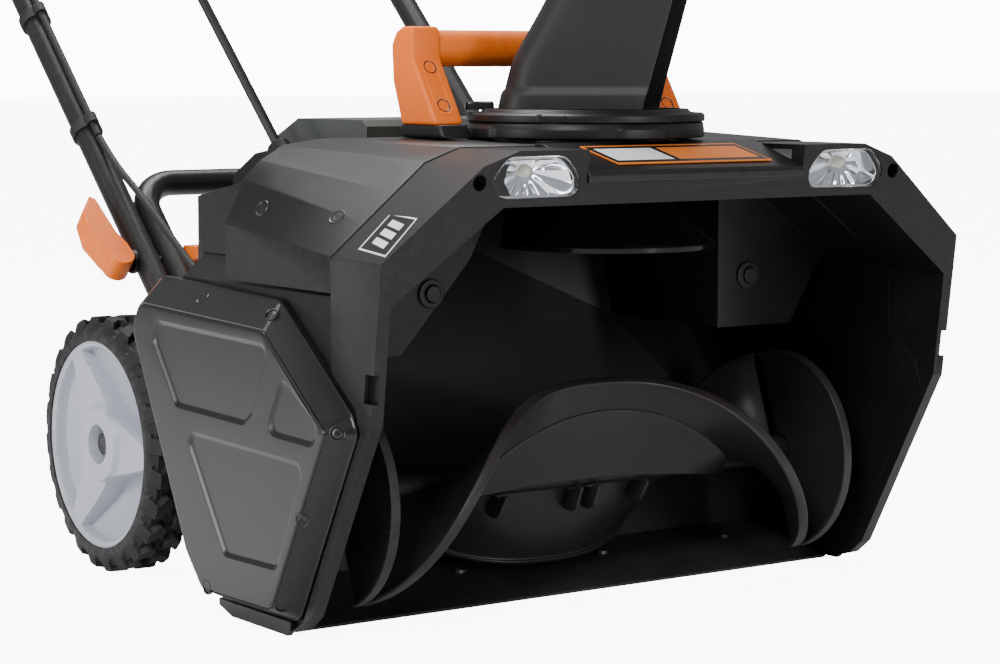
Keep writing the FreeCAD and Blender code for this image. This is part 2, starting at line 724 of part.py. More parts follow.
def auger():
    """Shaft, two arched blades, end webs, cross ribs and the pulley at the left end."""
    shaft = cylinder("shaft", "shaft_radius", "2 * auger_half + 100",
                     ("-(auger_half + 76)", "auger_back", "auger_high"), X_AXIS)
    finish(shaft, "auger_shaft")
    for name, turned in (("front", 0.0), ("rear", 180.0)):
        blade = doc.addObject("Part::Feature", "auger_blade_" + name)
        blade.Shape = blade_shape(turned)
        finish(blade, "auger_blade_" + name)
    webs = doc.addObject("Part::Feature", "auger_end_webs")
    webs.Shape = Part.makeCompound([end_web(side) for _, side in SIDES])
    finish(webs, "auger_end_webs")
    ribs = []
    outline = [(-14.5, 2.6), (-11, 9.5), (-4, 13.6), (-4, 18), (-22, 18), (-28, 14), (-31, 7),
               (-31, 2.6)]
    for i, x in enumerate((-70, 0, 17, 66)):
        rib = new_body("auger_rib_%d" % i)
        prism(rib, "YZ", x - 1.5, 3, [outline])
        rib.Placement = Placement(Vector(0, value("auger_back"), value("auger_high")),
                                  Rotation(X_AXIS, blade_angle(x)))
        ribs.append(rib)
    finish(group("ribs", ribs), "auger_ribs")
    pulley = new_body("large_pulley")
    flange = "auger_pulley + 4"
    turn(pulley, [(-283, "shaft_radius"), (-283, flange), (-280, flange), (-279, "auger_pulley"),
                  (-269, "auger_pulley"), (-268, flange), (-265, flange),
                  (-265, "shaft_radius")])
    bind(pulley, "Placement.Base.y", "auger_back")
    bind(pulley, "Placement.Base.z", "auger_high")
    return finish(pulley, "auger_pulley")


def auger_bearings():
    """A sealed bearing block in each side plate."""
    rings = []
    for name, side in SIDES:
        ring = new_body("bearing_" + name)
        turn(ring, [(side * 220, 12.05), (side * 220, 18), (side * 226, 25.8),
                    (side * 262, 25.8), (side * 262, 12.05)])
        bind(ring, "Placement.Base.y", "auger_back")
        bind(ring, "Placement.Base.z", "auger_high")
        rings.append(ring)
    return finish(group("bearings", rings), "auger_bearings")


# ---------------------------------------------------------------- drive

def motor():
    """Motor can in the rear body, its shaft, and the belt to the auger's pulley."""
    can = new_body("can")
    turn(can, [(-228, "motor_shaft + 0.05"), (-228, 14), (-220, 14), (-220, "motor_radius"),
               (-112, "motor_radius"), (-108, 22), (-108, "motor_shaft + 0.05")])
    finish(can, "motor_case")
    shaft = new_body("motor_shaft_and_pulley")
    turn(shaft, [(-284.6, 0), (-284.6, "motor_shaft"), (-283, "motor_shaft"), (-283, 14), (-280, 14),
                 (-279, "motor_pulley"), (-269, "motor_pulley"), (-268, 14), (-265, 14),
                 (-265, "motor_shaft"), (-106, "motor_shaft"), (-106, 0)])
    finish(shaft, "motor_shaft")
    for piece in (can, shaft):
        bind(piece, "Placement.Base.y", "motor_back")
        bind(piece, "Placement.Base.z", "motor_high")
    return belt()


def belt():
    """Flat belt round both pulleys, as two arcs and two straight runs."""
    small = Vector(0, value("motor_back"), value("motor_high"))
    large = Vector(0, value("auger_back"), value("auger_high"))
    gap = 0.35
    loops = []
    for lift in (gap, gap + 2.2):
        r_small = value("motor_pulley") + lift
        r_large = value("auger_pulley") + lift
        line = small - large
        heading = math.atan2(line.z, line.y)
        lean = math.acos((r_large - r_small) / line.Length)
        corners = []
        for centre, radius, sign in ((large, r_large, 1), (small, r_small, 1),
                                     (small, r_small, -1), (large, r_large, -1)):
            angle = heading + sign * lean
            corners.append(centre + Vector(0, math.cos(angle), math.sin(angle)) * radius)
        ahead = Vector(0, math.cos(heading), math.sin(heading))
        edges = [Part.LineSegment(corners[0], corners[1]).toShape(),
                 Part.Arc(corners[1], small + ahead * r_small, corners[2]).toShape(),
                 Part.LineSegment(corners[2], corners[3]).toShape(),
                 Part.Arc(corners[3], large - ahead * r_large, corners[0]).toShape()]
        loops.append(Part.Face(Part.Wire(edges)))
    strap = doc.addObject("Part::Feature", "belt_strap")
    strap.Shape = loops[1].cut(loops[0]).extrude(Vector(9, 0, 0))
    strap.Placement = Placement(Vector(-278.5, 0, 0), Rotation())
    return finish(strap, "drive_belt")


def chute_base_ring():
    """Fixed ring on the hood that the chute turns in, over the funnel."""
    ring = new_body("chute_base_ring")
    turn(ring, [("ring_low", 83.5), ("ring_low", "ring_radius"), ("ring_high - 3", "ring_radius"),
                ("ring_high", "ring_radius - 3"), ("ring_high", "inlet_radius"),
                ("ring_high - 3.5", "inlet_radius"), ("ring_high - 3.5", 83.5)])
    stand_up(ring, "chute_back")
    return finish(ring, "chute_base_ring")


CHUTE_HEADING = -46.0


def chute_frame(obj):
    """Turns a piece drawn with its outlet along +X to the chute's rest heading."""
    obj.Placement = Placement(Vector(0, value("chute_back"), 0), Rotation(Z_AXIS, CHUTE_HEADING))


CHUTE_RISES = (0, 36, 81, 169)
CHUTE_BACKS = (-62, -53, -27.5, 5.7)
CHUTE_FRONTS = (50, 59.6, 71.6, 95)


def chute_outline(level, grow, lift=0.0):
    """The chute's section at one of its levels: a square with the two rear corners cut."""
    back = CHUTE_BACKS[level] - grow
    front = CHUTE_FRONTS[level]
    half = 47.5 - CHUTE_RISES[level] * 0.03 + grow
    cut = 15.0
    corners = [(front, -half), (back + cut, -half), (back, -half + cut), (back, half - cut),
               (back + cut, half), (front, half)]
    return value("gear_top") + CHUTE_RISES[level] + lift, corners


def chute():
    """Turning ring, and the leaning spout open on one side."""
    ring = new_body("turning_ring")
    turn(ring, [("ring_high + 0.3", "inlet_radius"), ("ring_high + 0.3", "gear_radius"),
                ("gear_top - 3", "gear_radius"), ("gear_top - 3", 80), ("gear_top", 78),
                ("gear_top", "inlet_radius")])
    stand_up(ring, "chute_back")
    finish(ring, "chute_gear_ring")

    spout = new_body("chute_spout")
    loft(spout, "XY", [chute_outline(i, 0) for i in range(4)])
    hollows = []
    for i, lift in enumerate((-1, 0, 0, 1)):
        start, corners = chute_outline(i, -3, lift)
        corners[0] = (corners[0][0] + 60, corners[0][1])
        corners[-1] = (corners[-1][0] + 60, corners[-1][1])
        hollows.append((start, corners))
    loft(spout, "XY", hollows, cut=True)
    high = value("chute_top")
    prism(spout, "XZ", 60, 120, [[(36, high + 2), (160, high - 70), (160, high + 60),
                                  (36, high + 60)]], cut=True)
    chute_frame(spout)
    return finish(spout, "chute_body")


def deflector():
    """Hinged cap over the spout's outlet that sets how far the snow is thrown."""
    cap = new_body("chute_deflector")
    high = value("chute_top")
    back = CHUTE_BACKS[-1]
    half = 50.0
    side = [(back - 12, high - 20), (back - 5, high + 6), (back + 16, high + 34),
            (back + 76, high + 40), (back + 128, high + 18), (back + 126, high - 6),
            (back + 60, high - 6), (back + 26, high - 20)]
    prism(cap, "XZ", half, 2 * half, [side])
    hollow = [(back - 8.6, high - 24), (back - 1.8, high + 5), (back + 17.5, high + 31),
              (back + 75.5, high + 37), (back + 126, high + 15.7), (back + 160, high + 2),
              (back + 160, high - 40), (back - 8.6, high - 40)]
    prism(cap, "XZ", half - 3, 2 * half - 6, [hollow], cut=True)
    grip = [(back + 30, high + 34), (back + 34, high + 56), (back + 62, high + 58),
            (back + 64, high + 37)]
    prism(cap, "XZ", 4, 8, [grip])
    pivot = (back + 8, high - 10)
    prism(cap, "XZ", half + 5, 2 * half + 10, [], [(pivot, 3.05)], cut=True)
    pins = new_body("pivot_pins")
    prism(pins, "XZ", half + 3, 2 * half + 6, [], [(pivot, 3)])
    prism(pins, "XZ", 42.8, 85.6, [], [(pivot, 5)], cut=True)
    chute_frame(pins)
    finish(pins, "deflector_pins")
    chute_frame(cap)
    return finish(cap, "chute_deflector")


# ---------------------------------------------------------------- carry handle

def carry_handle():
    """Two bolted posts and the round bar between them, behind the chute."""
    posts = []
    profile = [POST_FOOT, (29, 354.1), (45, 396), (47, 424), (41, 434), (32, 438), (18, 438),
               POST_HEAD]
    for name, side in SIDES:
        post = new_body("post_" + name)
        low = "-post_out - post_half" if side == LEFT else "post_out - post_half"
        prism(post, "YZ", low, "2 * post_half", [profile])
        posts.append(post)
    bar = cylinder("bar", "bar_radius", "2 * (post_out - post_half)",
                   ("-(post_out - post_half)", "bar_back", "bar_high"), X_AXIS)
    finish(group("carry_posts", posts), "carry_handle_posts")
    return finish(bar, "carry_handle_bar")


# ---------------------------------------------------------------- wheels and frame

def wheels():
    """Axle with a cap on each end, and a tyre on its hub at each end."""
    rod = cylinder("axle_rod", "axle_radius", "2 * axle_half",
                   ("-axle_half", "wheel_back", "wheel_high"), X_AXIS)
    caps = [cylinder("axle_cap_" + name, 9, 5,
                     (side * (value("axle_half") + 0.4), "wheel_back", "wheel_high"),
                     X_AXIS * side) for name, side in SIDES]
    necks = [cylinder("axle_neck_" + name, 5, 6,
                      (side * (value("axle_half") - 3), "wheel_back", "wheel_high"),
                      X_AXIS * side) for name, side in SIDES]
    finish(fused("axle_whole", [rod] + caps + necks), "axle")
    for name, side in SIDES:
        tyre = new_body("tyre_turned_" + name)
        inner, outer = value("wheel_inner"), value("wheel_outer")
        turn(tyre, [(side * a, b) for a, b in (
            (inner, value("rim_radius")), (inner, 91), (inner + 5, 96), (inner + 9, 98),
            (outer - 9, 98), (outer - 5, 96), (outer, 91), (outer, value("rim_radius")))])
        middle = side * (inner + outer) / 2
        lug = prism(tyre, "XY", "tyre_radius - 8", 8,
                    [[(middle - 18, -5), (middle + 18, -5), (middle + 18, 5), (middle - 18, 5)]])
        tread = tyre.newObject("PartDesign::PolarPattern", "tread")
        tread.Originals = [lug]
        tread.Axis = ([item for item in tyre.Origin.OriginFeatures if item.Role == "X_Axis"][0],
                      [""])
        tread.Occurrences = 24
        tyre.Tip = tread
        place_wheel(tyre)
        finish(tyre, "tyre_" + name)
        place_wheel(finish(wheel_hub(name, side), "wheel_hub_" + name))


def place_wheel(piece):
    """Moves a piece drawn round the X axis onto the axle."""
    bind(piece, "Placement.Base.y", "wheel_back")
    bind(piece, "Placement.Base.z", "wheel_high")


def wheel_hub(name, side):
    """Rim and boss joined by a dished disc."""
    hub = new_body("hub_" + name)
    inner, outer = value("wheel_inner") + 1, value("wheel_outer") - 1
    bore = value("axle_radius") + 0.05
    rim = value("rim_radius")
    turn(hub, [(side * a, b) for a, b in (
        (inner, rim), (inner, rim - 4), (outer - 20, rim - 5), (outer - 26, 30), (inner - 4, 20),
        (inner - 4, bore), (outer - 12, bore), (outer - 12, 20), (outer - 16, 26),
        (outer - 14, 40), (outer - 9, rim - 8), (outer, rim - 4), (outer, rim))])
    return hub


def axle_brackets():
    """Steel plates that carry the axle and the lower handle tube behind the housing."""
    plates = []
    outline = [(71, 72), (96.5, 155), (96.5, 164.5), (215, 164.5), (268, 122), (272, 104),
               (262, 90), (240, 86), (100, 58), (66.5, 58)]
    for name, side in SIDES:
        plate = new_body("bracket_" + name)
        low = -196.5 if side == LEFT else 192.5
        prism(plate, "YZ", low, 4, [outline], [(("wheel_back", "wheel_high"), "axle_radius")])
        plates.append(plate)
    return finish(group("brackets", plates), "axle_brackets")


# ---------------------------------------------------------------- handle

def on_handle(obj):
    """Places a piece drawn about the fold bolt: X across, Y down from the handle, Z along it."""
    fold = Placement(Vector(0, value("pivot_back"), value("pivot_high")),
                     Rotation(X_AXIS, value("handle_angle") - 90))
    obj.Placement = fold.multiply(obj.Placement)


def cross_hole(name, radius):
    """A long cutter on the fold bolt's axis."""
    return cylinder(name, radius, 600, (-300, 0, 0), X_AXIS)


def tube_u(name, half, low, high, bend):
    """A round tube bent into a U: two legs and the cross run at the top."""
    points = [(-half, 0, low), (-half, 0, high), (half, 0, high), (half, 0, low)]
    return bent_tube(name, points, [bend, bend], "tube_radius")


def lower_handle():
    """Fixed U tube, the sleeves that clamp it, and the fold bolts through it."""
    tube = tube_u("lower_u", value("lower_half"), -179.0, 88.0, value("lower_bend"))
    drilled = taken("lower_tube", tube, cross_hole("lower_hole", "bolt_radius"))
    on_handle(drilled)
    finish(drilled, "lower_handle_tube")
    sleeves = []
    for name, side in SIDES:
        for i, low in enumerate((-161, -139)):
            sleeve = new_body("sleeve_%s_%d" % (name, i))
            middle = (side * value("lower_half"), 0)
            prism(sleeve, "XY", low, 12, [], [(middle, "tube_radius + 2"),
                                              (middle, "tube_radius")])
            sleeves.append(sleeve)
    clamps = group("sleeves", sleeves)
    on_handle(clamps)
    finish(clamps, "tube_clamps")
    bolts = []
    for name, side in SIDES:
        bolts.append(cylinder("fold_bolt_" + name, "bolt_radius", 64.5, (side * 152, 0, 0),
                              X_AXIS * side))
        washer = cylinder("washer_" + name, 10, 3, (side * 213.4, 0, 0), X_AXIS * side)
        bolts[-1] = fused("bolt_and_washer_" + name, [bolts[-1], washer])
    stack = group("bolts", bolts)
    on_handle(stack)
    return finish(stack, "fold_bolts")


def upper_handle():
    """Folding U tube with its cross tube, grip, control box, cable and clips."""
    half = value("upper_half")
    long = value("handle_long")
    tube = tube_u("upper_u", half, -40.0, long, value("upper_bend"))
    cross = cylinder("cross_tube", 9, 2 * half - 4, (-half + 2, 0, 900), X_AXIS)
    joined = fused("upper_tubes", [tube, cross])
    drilled = taken("upper_tube", joined, cross_hole("upper_hole", "bolt_radius + 0.05"))
    on_handle(drilled)
    finish(drilled, "upper_handle_tube")

    grip = new_body("grip_sleeve")
    length = value("upper_half") - value("upper_bend") - 2
    prism(grip, "YZ", -length, 2 * length, [], [((0, "handle_long"), 15.5),
                                                ((0, "handle_long"), "tube_radius")])
    on_handle(grip)
    finish(grip, "handle_grip")

    clips = []
    for i, place in enumerate((151, 288, 520, 740)):
        clip = new_body("clip_%d" % i)
        tube_middle = (-half, 0)
        cable_middle = (-half, -14.3)
        prism(clip, "XY", place - 5, 10, [], [(tube_middle, 13.5)])
        prism(clip, "XY", place - 5, 10, [], [(cable_middle, 5.5)])
        prism(clip, "XY", place - 6, 12, [], [(tube_middle, "tube_radius")], cut=True)
        prism(clip, "XY", place - 6, 12, [], [(cable_middle, "cable_radius")], cut=True)
        clips.append(clip)
    ties = group("clips", clips)
    on_handle(ties)
    finish(ties, "cable_clips")

    points = [(-half, -14.3, 132), (-half, -14.3, 830), (-182, -20, 872), (-150, -26, 902),
              (-120, -30, 915), (-95.6, -30, 918)]
    cable = bent_tube("upper_cable", points, soft_radii(points), "cable_radius")
    on_handle(cable)
    return finish(cable, "handle_cable")


def rod_bracket():
    """Arm from the left tube with the eye that holds the chute rod."""
    arm = new_body("rod_arm")
    half = value("upper_half")
    lift = value("rod_lift")
    out = value("rod_out")
    outline = [(-half - 8, -12), (-out - 7, -lift), (-out + 7, -lift), (-half + 12, 0)]
    low = 694
    eye = ("-rod_out", "-rod_lift")
    prism(arm, "XY", low, 12, [outline])
    prism(arm, "XY", low, 12, [], [((-half, -3), 19)])
    prism(arm, "XY", low, 12, [], [(eye, 10)])
    prism(arm, "XY", low - 1, 14, [], [((-half, 0), "tube_radius"), (eye, "rod_radius + 0.05"),
                                       ((-half, -15.3), "cable_radius + 1")], cut=True)
    on_handle(arm)
    return finish(arm, "rod_bracket")


def control_box():
    """Box on the cross tube with two sprung buttons and the bail's pivot holes."""
    box = new_body("control_shell")
    low = value("box_low")
    outline = [(-9.2, low), (-9.2, low + 70), (-40, low + 70), (-55, low + 58), (-55, low + 10),
               (-45, low)]
    prism(box, "YZ", "-box_half", "2 * box_half", [outline])
    prism(box, "XZ", -40, 40, [], [((-40, low + 34), 9.3), ((45, low + 34), 7.3)], cut=True)
    prism(box, "YZ", -120, 240, [], [((-32, low + 48), "bail_radius + 0.05")], cut=True)
    on_handle(box)
    finish(box, "control_box")
    for name, x, radius in (("safety_button", -40, 9), ("lamp_switch", 45, 7)):
        button = cylinder(name + "_cap", radius, 13, (x, -47, low + 34), -Y_AXIS)
        holder = fused(name + "_top", [button, cylinder(name + "_dot", radius - 3, 14,
                                                        (x, -47, low + 34), -Y_AXIS)])
        on_handle(holder)
        finish(holder, name)


def bail_bar():
    """Sprung bail: a bent wire pivoted in the control box and squeezed to the grip."""
    low = value("box_low") + 48
    rest = (-62, low + 75)
    points = [(-80, -32, low), (-150, -32, low), (-150,) + rest, (150,) + rest,
              (150, -32, low), (80, -32, low)]
    wire = bent_tube("bail_wire", points, [14, 18, 18, 14], "bail_radius")
    on_handle(wire)
    return finish(wire, "bail_bar")


def chute_rod():
    """Crank rod that turns the chute, held in the handle's eye, and its socket below."""
    rod = new_body("rod")
    low, top = value("rod_low"), value("rod_top")
    turn(rod, [(low, 0), (low, 3), (low + 2, "rod_radius"), (692, "rod_radius"), (692, 7),
               (693.7, 7), (693.7, "rod_radius"), (top, "rod_radius"), (top, 0)])
    rod.Placement = Placement(Vector(-value("rod_out"), -value("rod_lift"), 0),
                              Rotation(Y_AXIS, -90))
    arm = block("crank_arm", (-value("rod_out") - 6, -value("rod_lift") - 62, top), (12, 70, 7))
    knob = cylinder("crank_knob", 11, 58, (-value("rod_out"), -value("rod_lift") - 54, top + 7),
                    Z_AXIS)
    whole = fused("rod_whole", [rod, arm, knob])
    on_handle(whole)
    finish(whole, "chute_rod")
    cup = new_body("drive_cup")
    turn(cup, [(-34, 0), (-34, "socket_radius"), (-8, "socket_radius"), (-8, 7), (-26, 5.6),
               (-26, 0)])
    cup.Placement = Placement(Vector(-value("rod_out"), -value("rod_lift"), 0),
                              Rotation(Y_AXIS, -90))
    on_handle(cup)
    return finish(cup, "chute_drive_case")


def cam_levers():
    """Cam lever outside and winged nut inside each fold joint."""
    for name, side in SIDES:
        root = side * 228
        base = new_body("cam_" + name)
        arm = [(-10.5, 2), (-9, 12), (-4, 24), (-1, 46), (1, 62), (6, 66), (17, 50), (20, 26),
               (13, 4), (9, -4)]
        corners = [(root + side * a, b) for a, b in arm]
        prism(base, "XZ", 11, 22, [corners])
        prism(base, "XZ", 11, 22, [], [((root, 0), 11)])
        on_handle(base)
        finish(base, "cam_lever_" + name)
        nut = new_body("nut_" + name)
        wing = [(-7, -8), (-20, -16), (-24, -8), (-9, 8), (7, 8), (20, 16), (24, 8), (9, -8)]
        low = -167.5 if side == LEFT else 154.5
        prism(nut, "YZ", low, 13, [wing])
        prism(nut, "YZ", low, 13, [], [((0, 0), 10)])
        prism(nut, "YZ", low - 1, 15, [], [((0, 0), "bolt_radius + 0.05")], cut=True)
        on_handle(nut)
        finish(nut, "wing_nut_" + name)


def control_cable():
    """Flexible stretch of the control cable, from the lowest clip into the rear body."""
    y, z = along_handle(130, 14.3)
    half = value("upper_half")
    points = [(-half, y, z), (-half, 354, 328), (-half, 303, 301), (-200, 256, 270),
              (-198, 212, 240), (-196, 167.8, 222)]
    cable = bent_tube("loose_cable", points, soft_radii(points), "cable_radius")
    return finish(cable, "control_cable")


SUBPARTS = (auger_housing, front_frame, hood, rear_body, belt_cover, side_cover, name_panel,
            lamps, scraper_bar, skid_shoes, intake_cone, wall_bolts, auger, auger_bearings, motor,
            chute_base_ring, chute, deflector, carry_handle, battery_packs, battery_door,
            case_screws, wheels, axle_brackets, lower_handle, upper_handle, rod_bracket,
            control_box, bail_bar, chute_rod, cam_levers, control_cable)


def write_parts():
    """Stops on a failed object or shape, then writes one file for each sub-part."""
    for make in SUBPARTS:
        make()
    doc.recompute()
    failed = [obj.Name for obj in doc.Objects if {"Invalid", "Error"} & set(obj.State)]
    if failed:
        raise RuntimeError("failed objects: " + ", ".join(failed))
    bad = [part.Label for part in PARTS if part.Shape.isNull() or not part.Shape.isValid()]
    if bad:
        raise RuntimeError("bad shapes: " + ", ".join(bad))
    os.makedirs("parts", exist_ok=True)
    for part in PARTS:
        part.Shape.exportStep(os.path.join("parts", part.Label + ".step"))
        print(part.Label, round(part.Shape.Volume / 1000, 1), "cm3")


write_parts()
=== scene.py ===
import json
import math

import bmesh
import bpy
import numpy as np
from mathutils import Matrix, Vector


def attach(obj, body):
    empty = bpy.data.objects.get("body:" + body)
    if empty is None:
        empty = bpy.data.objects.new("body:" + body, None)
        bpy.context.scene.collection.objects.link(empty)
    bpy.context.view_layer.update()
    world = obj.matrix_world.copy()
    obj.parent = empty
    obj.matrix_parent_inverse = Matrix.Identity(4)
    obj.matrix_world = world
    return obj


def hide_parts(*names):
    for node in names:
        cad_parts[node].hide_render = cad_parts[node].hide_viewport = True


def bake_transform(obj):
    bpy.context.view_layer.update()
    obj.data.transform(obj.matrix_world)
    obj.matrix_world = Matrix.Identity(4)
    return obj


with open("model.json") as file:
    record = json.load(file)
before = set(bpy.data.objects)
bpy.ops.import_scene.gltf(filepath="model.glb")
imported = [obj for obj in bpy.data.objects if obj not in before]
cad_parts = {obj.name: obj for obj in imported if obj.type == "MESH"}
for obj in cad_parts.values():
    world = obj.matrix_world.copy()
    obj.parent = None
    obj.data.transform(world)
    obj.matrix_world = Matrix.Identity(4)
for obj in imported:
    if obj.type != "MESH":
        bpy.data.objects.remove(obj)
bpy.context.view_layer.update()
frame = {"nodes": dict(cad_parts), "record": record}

bl_info = {
    "name": "Snow Blower",
    "version": (1, 0, 0),
    "blender": (4, 5, 0),
    "location": "3D View > Sidebar > Snow Blower",
    "description": "Finishes a battery snow blower piece by piece over its packed frame",
    "category": "Object",
}

BODY_OF = {node: body for body, nodes in frame["record"]["behaviour"]["bodies"].items()
           for node in nodes}
# Places in millimetres: back from the origin and up from the ground.
CHUTE_BACK = -40.6
CHUTE_HEADING = -46.0
AXLE_BACK, AXLE_HIGH = 257.0, 104.0
AUGER_BACK, AUGER_HIGH = -24.0, 94.0
POST_SIDE = 107.0
SMOOTH_ANGLE = 32.0


# ---------------------------------------------------------------- settings

def colour(name, what, default):
    return bpy.props.FloatVectorProperty(name=name, description=what, default=default, size=3,
                                         subtype="COLOR", min=0.0, max=1.0)


def length(name, what, default):
    return bpy.props.FloatProperty(name=name, description=what, default=default, min=0.0,
                                   unit="LENGTH", subtype="DISTANCE", precision=4)


class SnowBlowerColours(bpy.types.PropertyGroup):
    shell: colour("Housing", "Moulded housing, frame and chute", (0.0055, 0.0053, 0.0056))
    cover: colour("Side covers", "Glossier covers over the belt and the auger's end",
                  (0.0058, 0.0056, 0.0060))
    auger: colour("Auger", "Blades, webs and scraper bar", (0.020, 0.0172, 0.0160))
    tube: colour("Tubes", "Powder coat on the tubes of the push handle", (0.0125, 0.0112, 0.011))
    bright: colour("Grips and levers", "Carry handle, clamping levers and start button",
                   (0.90, 0.155, 0.006))
    hub: colour("Hubs", "Wheel hubs", (0.40, 0.42, 0.475))
    tyre: colour("Tyres", "Tyre rubber", (0.0065, 0.0064, 0.0065))
    floor: colour("Floor", "Studio floor and backdrop", (0.93, 0.93, 0.93))


class SnowBlowerSizes(bpy.types.PropertyGroup):
    blade_thick: length("Blade thickness", "Web thickness of the auger blades", 0.0032)
    rim_wide: length("Blade rim", "Width of the rib along a blade's outer edge", 0.0085)
    tread_deep: length("Tread", "Height of the tyre lugs", 0.0055)
    spoke_deep: length("Spoke relief", "How far the hub's spokes stand out of its dish", 0.017)


def sizes():
    return bpy.context.scene.snow_blower_sizes


def colours():
    return bpy.context.scene.snow_blower_colours


# ---------------------------------------------------------------- meshes

def mesh_piece(name, points, faces, angle=SMOOTH_ANGLE):
    """A mesh object in the row frame from an (n, 3) array of points and lists of corners, merged
    and turned outwards."""
    mesh = bpy.data.meshes.new(name)
    mesh.from_pydata(np.asarray(points, float).tolist(), [], faces)
    mesh.validate()
    obj = bpy.data.objects.new(name, mesh)
    bpy.context.scene.collection.objects.link(obj)
    bm = bmesh.new()
    bm.from_mesh(mesh)
    bmesh.ops.remove_doubles(bm, verts=bm.verts, dist=1e-6)
    bmesh.ops.recalc_face_normals(bm, faces=bm.faces)
    bm.to_mesh(mesh)
    bm.free()
    smooth(obj, angle)
    return obj


def smooth(obj, angle):
    """Shades smooth up to that angle between faces."""
    obj.data.polygons.foreach_set("use_smooth", np.ones(len(obj.data.polygons), bool))
    obj.data.set_sharp_from_angle(angle=math.radians(angle))


def grid_faces(rows, columns, close_rows=False, close_columns=False, start=0):
    """Corner numbers of the quads of a grid, with the last row or column joined to the first."""
    r = np.arange(rows if close_rows else rows - 1)[:, None]
    c = np.arange(columns if close_columns else columns - 1)[None, :]
    r2, c2 = (r + 1) % rows, (c + 1) % columns
    quads = np.stack([r * columns + c, r * columns + c2, r2 * columns + c2, r2 * columns + c], -1)
    return (quads.reshape(-1, 4) + start).tolist()


def loft(name, sections, angle=SMOOTH_ANGLE):
    """A skin through closed outlines, an array (sections, corners, 3), with flat ends."""
    sections = np.asarray(sections, float)
    count, corners = sections.shape[:2]
    faces = grid_faces(count, corners, close_columns=True)
    faces.append(list(range(corners))[::-1])
    faces.append([(count - 1) * corners + i for i in range(corners)])
    return mesh_piece(name, sections.reshape(-1, 3), faces, angle)


def rounded(corners, radius, steps=5):
    """An outline with each corner replaced by an arc: on each arc, the points are its centre
    plus the radius turned evenly from one edge's normal to the next one's."""
    corners = np.asarray(corners, float)
    radii = np.broadcast_to(np.asarray(radius, float), len(corners))
    before = np.roll(corners, 1, axis=0) - corners
    after = np.roll(corners, -1, axis=0) - corners
    long_before = np.linalg.norm(before, axis=1, keepdims=True)
    long_after = np.linalg.norm(after, axis=1, keepdims=True)
    before, after = before / long_before, after / long_after
    half = np.arccos(np.clip((before * after).sum(1), -1, 1)) / 2
    room = 0.48 * np.minimum(long_before, long_after)[:, 0]
    reach = np.minimum(radii / np.tan(half), room)
    radii = reach * np.tan(half)
    way = before + after
    way /= np.linalg.norm(way, axis=1, keepdims=True)
    centre = corners + way * (radii / np.sin(half))[:, None]
    first = corners + before * reach[:, None] - centre
    last = corners + after * reach[:, None] - centre
    start = np.arctan2(first[:, 1], first[:, 0])
    sweep = np.arctan2(last[:, 1], last[:, 0]) - start
    sweep = (sweep + math.pi) % (2 * math.pi) - math.pi
    t = np.linspace(0, 1, steps)
    angles = start[:, None] + sweep[:, None] * t
    arcs = centre[:, None, :] + radii[:, None, None] * np.stack([np.cos(angles), np.sin(angles)],
                                                                -1)
    return arcs.reshape(-1, 2)


def inset(corners, distances):
    """Each edge moved in by its own distance: new corners are where neighbouring lines meet."""
    corners = np.asarray(corners, float)
    distances = np.broadcast_to(np.asarray(distances, float), len(corners))
    ahead = np.roll(corners, -1, axis=0) - corners
    area = (corners[:, 0] * np.roll(corners[:, 1], -1)
            - np.roll(corners[:, 0], -1) * corners[:, 1]).sum()
    normal = np.stack([-ahead[:, 1], ahead[:, 0]], 1) / np.linalg.norm(ahead, axis=1)[:, None]
    normal *= np.sign(area)
    level = (normal * corners).sum(1) + distances
    a, b = np.roll(normal, 1, axis=0), normal
    ka, kb = np.roll(level, 1), level
    cross = a[:, 0] * b[:, 1] - a[:, 1] * b[:, 0]
    return np.stack([(ka * b[:, 1] - kb * a[:, 1]) / cross,
                     (a[:, 0] * kb - b[:, 0] * ka) / cross], 1)


def tube_points(path, radius, around=16):
    """Rings along a path: centre plus radius times the cosine and sine of the angle round it,
    along two normals carried forward from one point of the path to the next."""
    path = np.asarray(path, float)
    ahead = np.gradient(path, axis=0)
    ahead /= np.linalg.norm(ahead, axis=1, keepdims=True)
    side = np.cross(ahead[0], [0.3, 0.5, 0.81])
    sides = []
    for direction in ahead:
        side = side - direction * side.dot(direction)
        side /= np.linalg.norm(side)
        sides.append(side)
    sides = np.array(sides)
    other = np.cross(ahead, sides)
    a = np.linspace(0, 2 * math.pi, around, endpoint=False)
    radius = np.broadcast_to(np.asarray(radius, float), len(path))
    ring = sides[:, None] * np.cos(a)[:, None] + other[:, None] * np.sin(a)[:, None]
    return path[:, None] + ring * radius[:, None, None]


def dress(obj, material, body="chassis"):
    """Gives a piece its material and the body that it rides on."""
    obj.data.materials.clear()
    obj.data.materials.append(material)
    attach(obj, body)
    return obj


def place(obj, node, material):
    """Lets a finished piece stand for a CAD node, on the node's own body."""
    dress(obj, material, BODY_OF[node])
    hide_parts(node)
    return obj


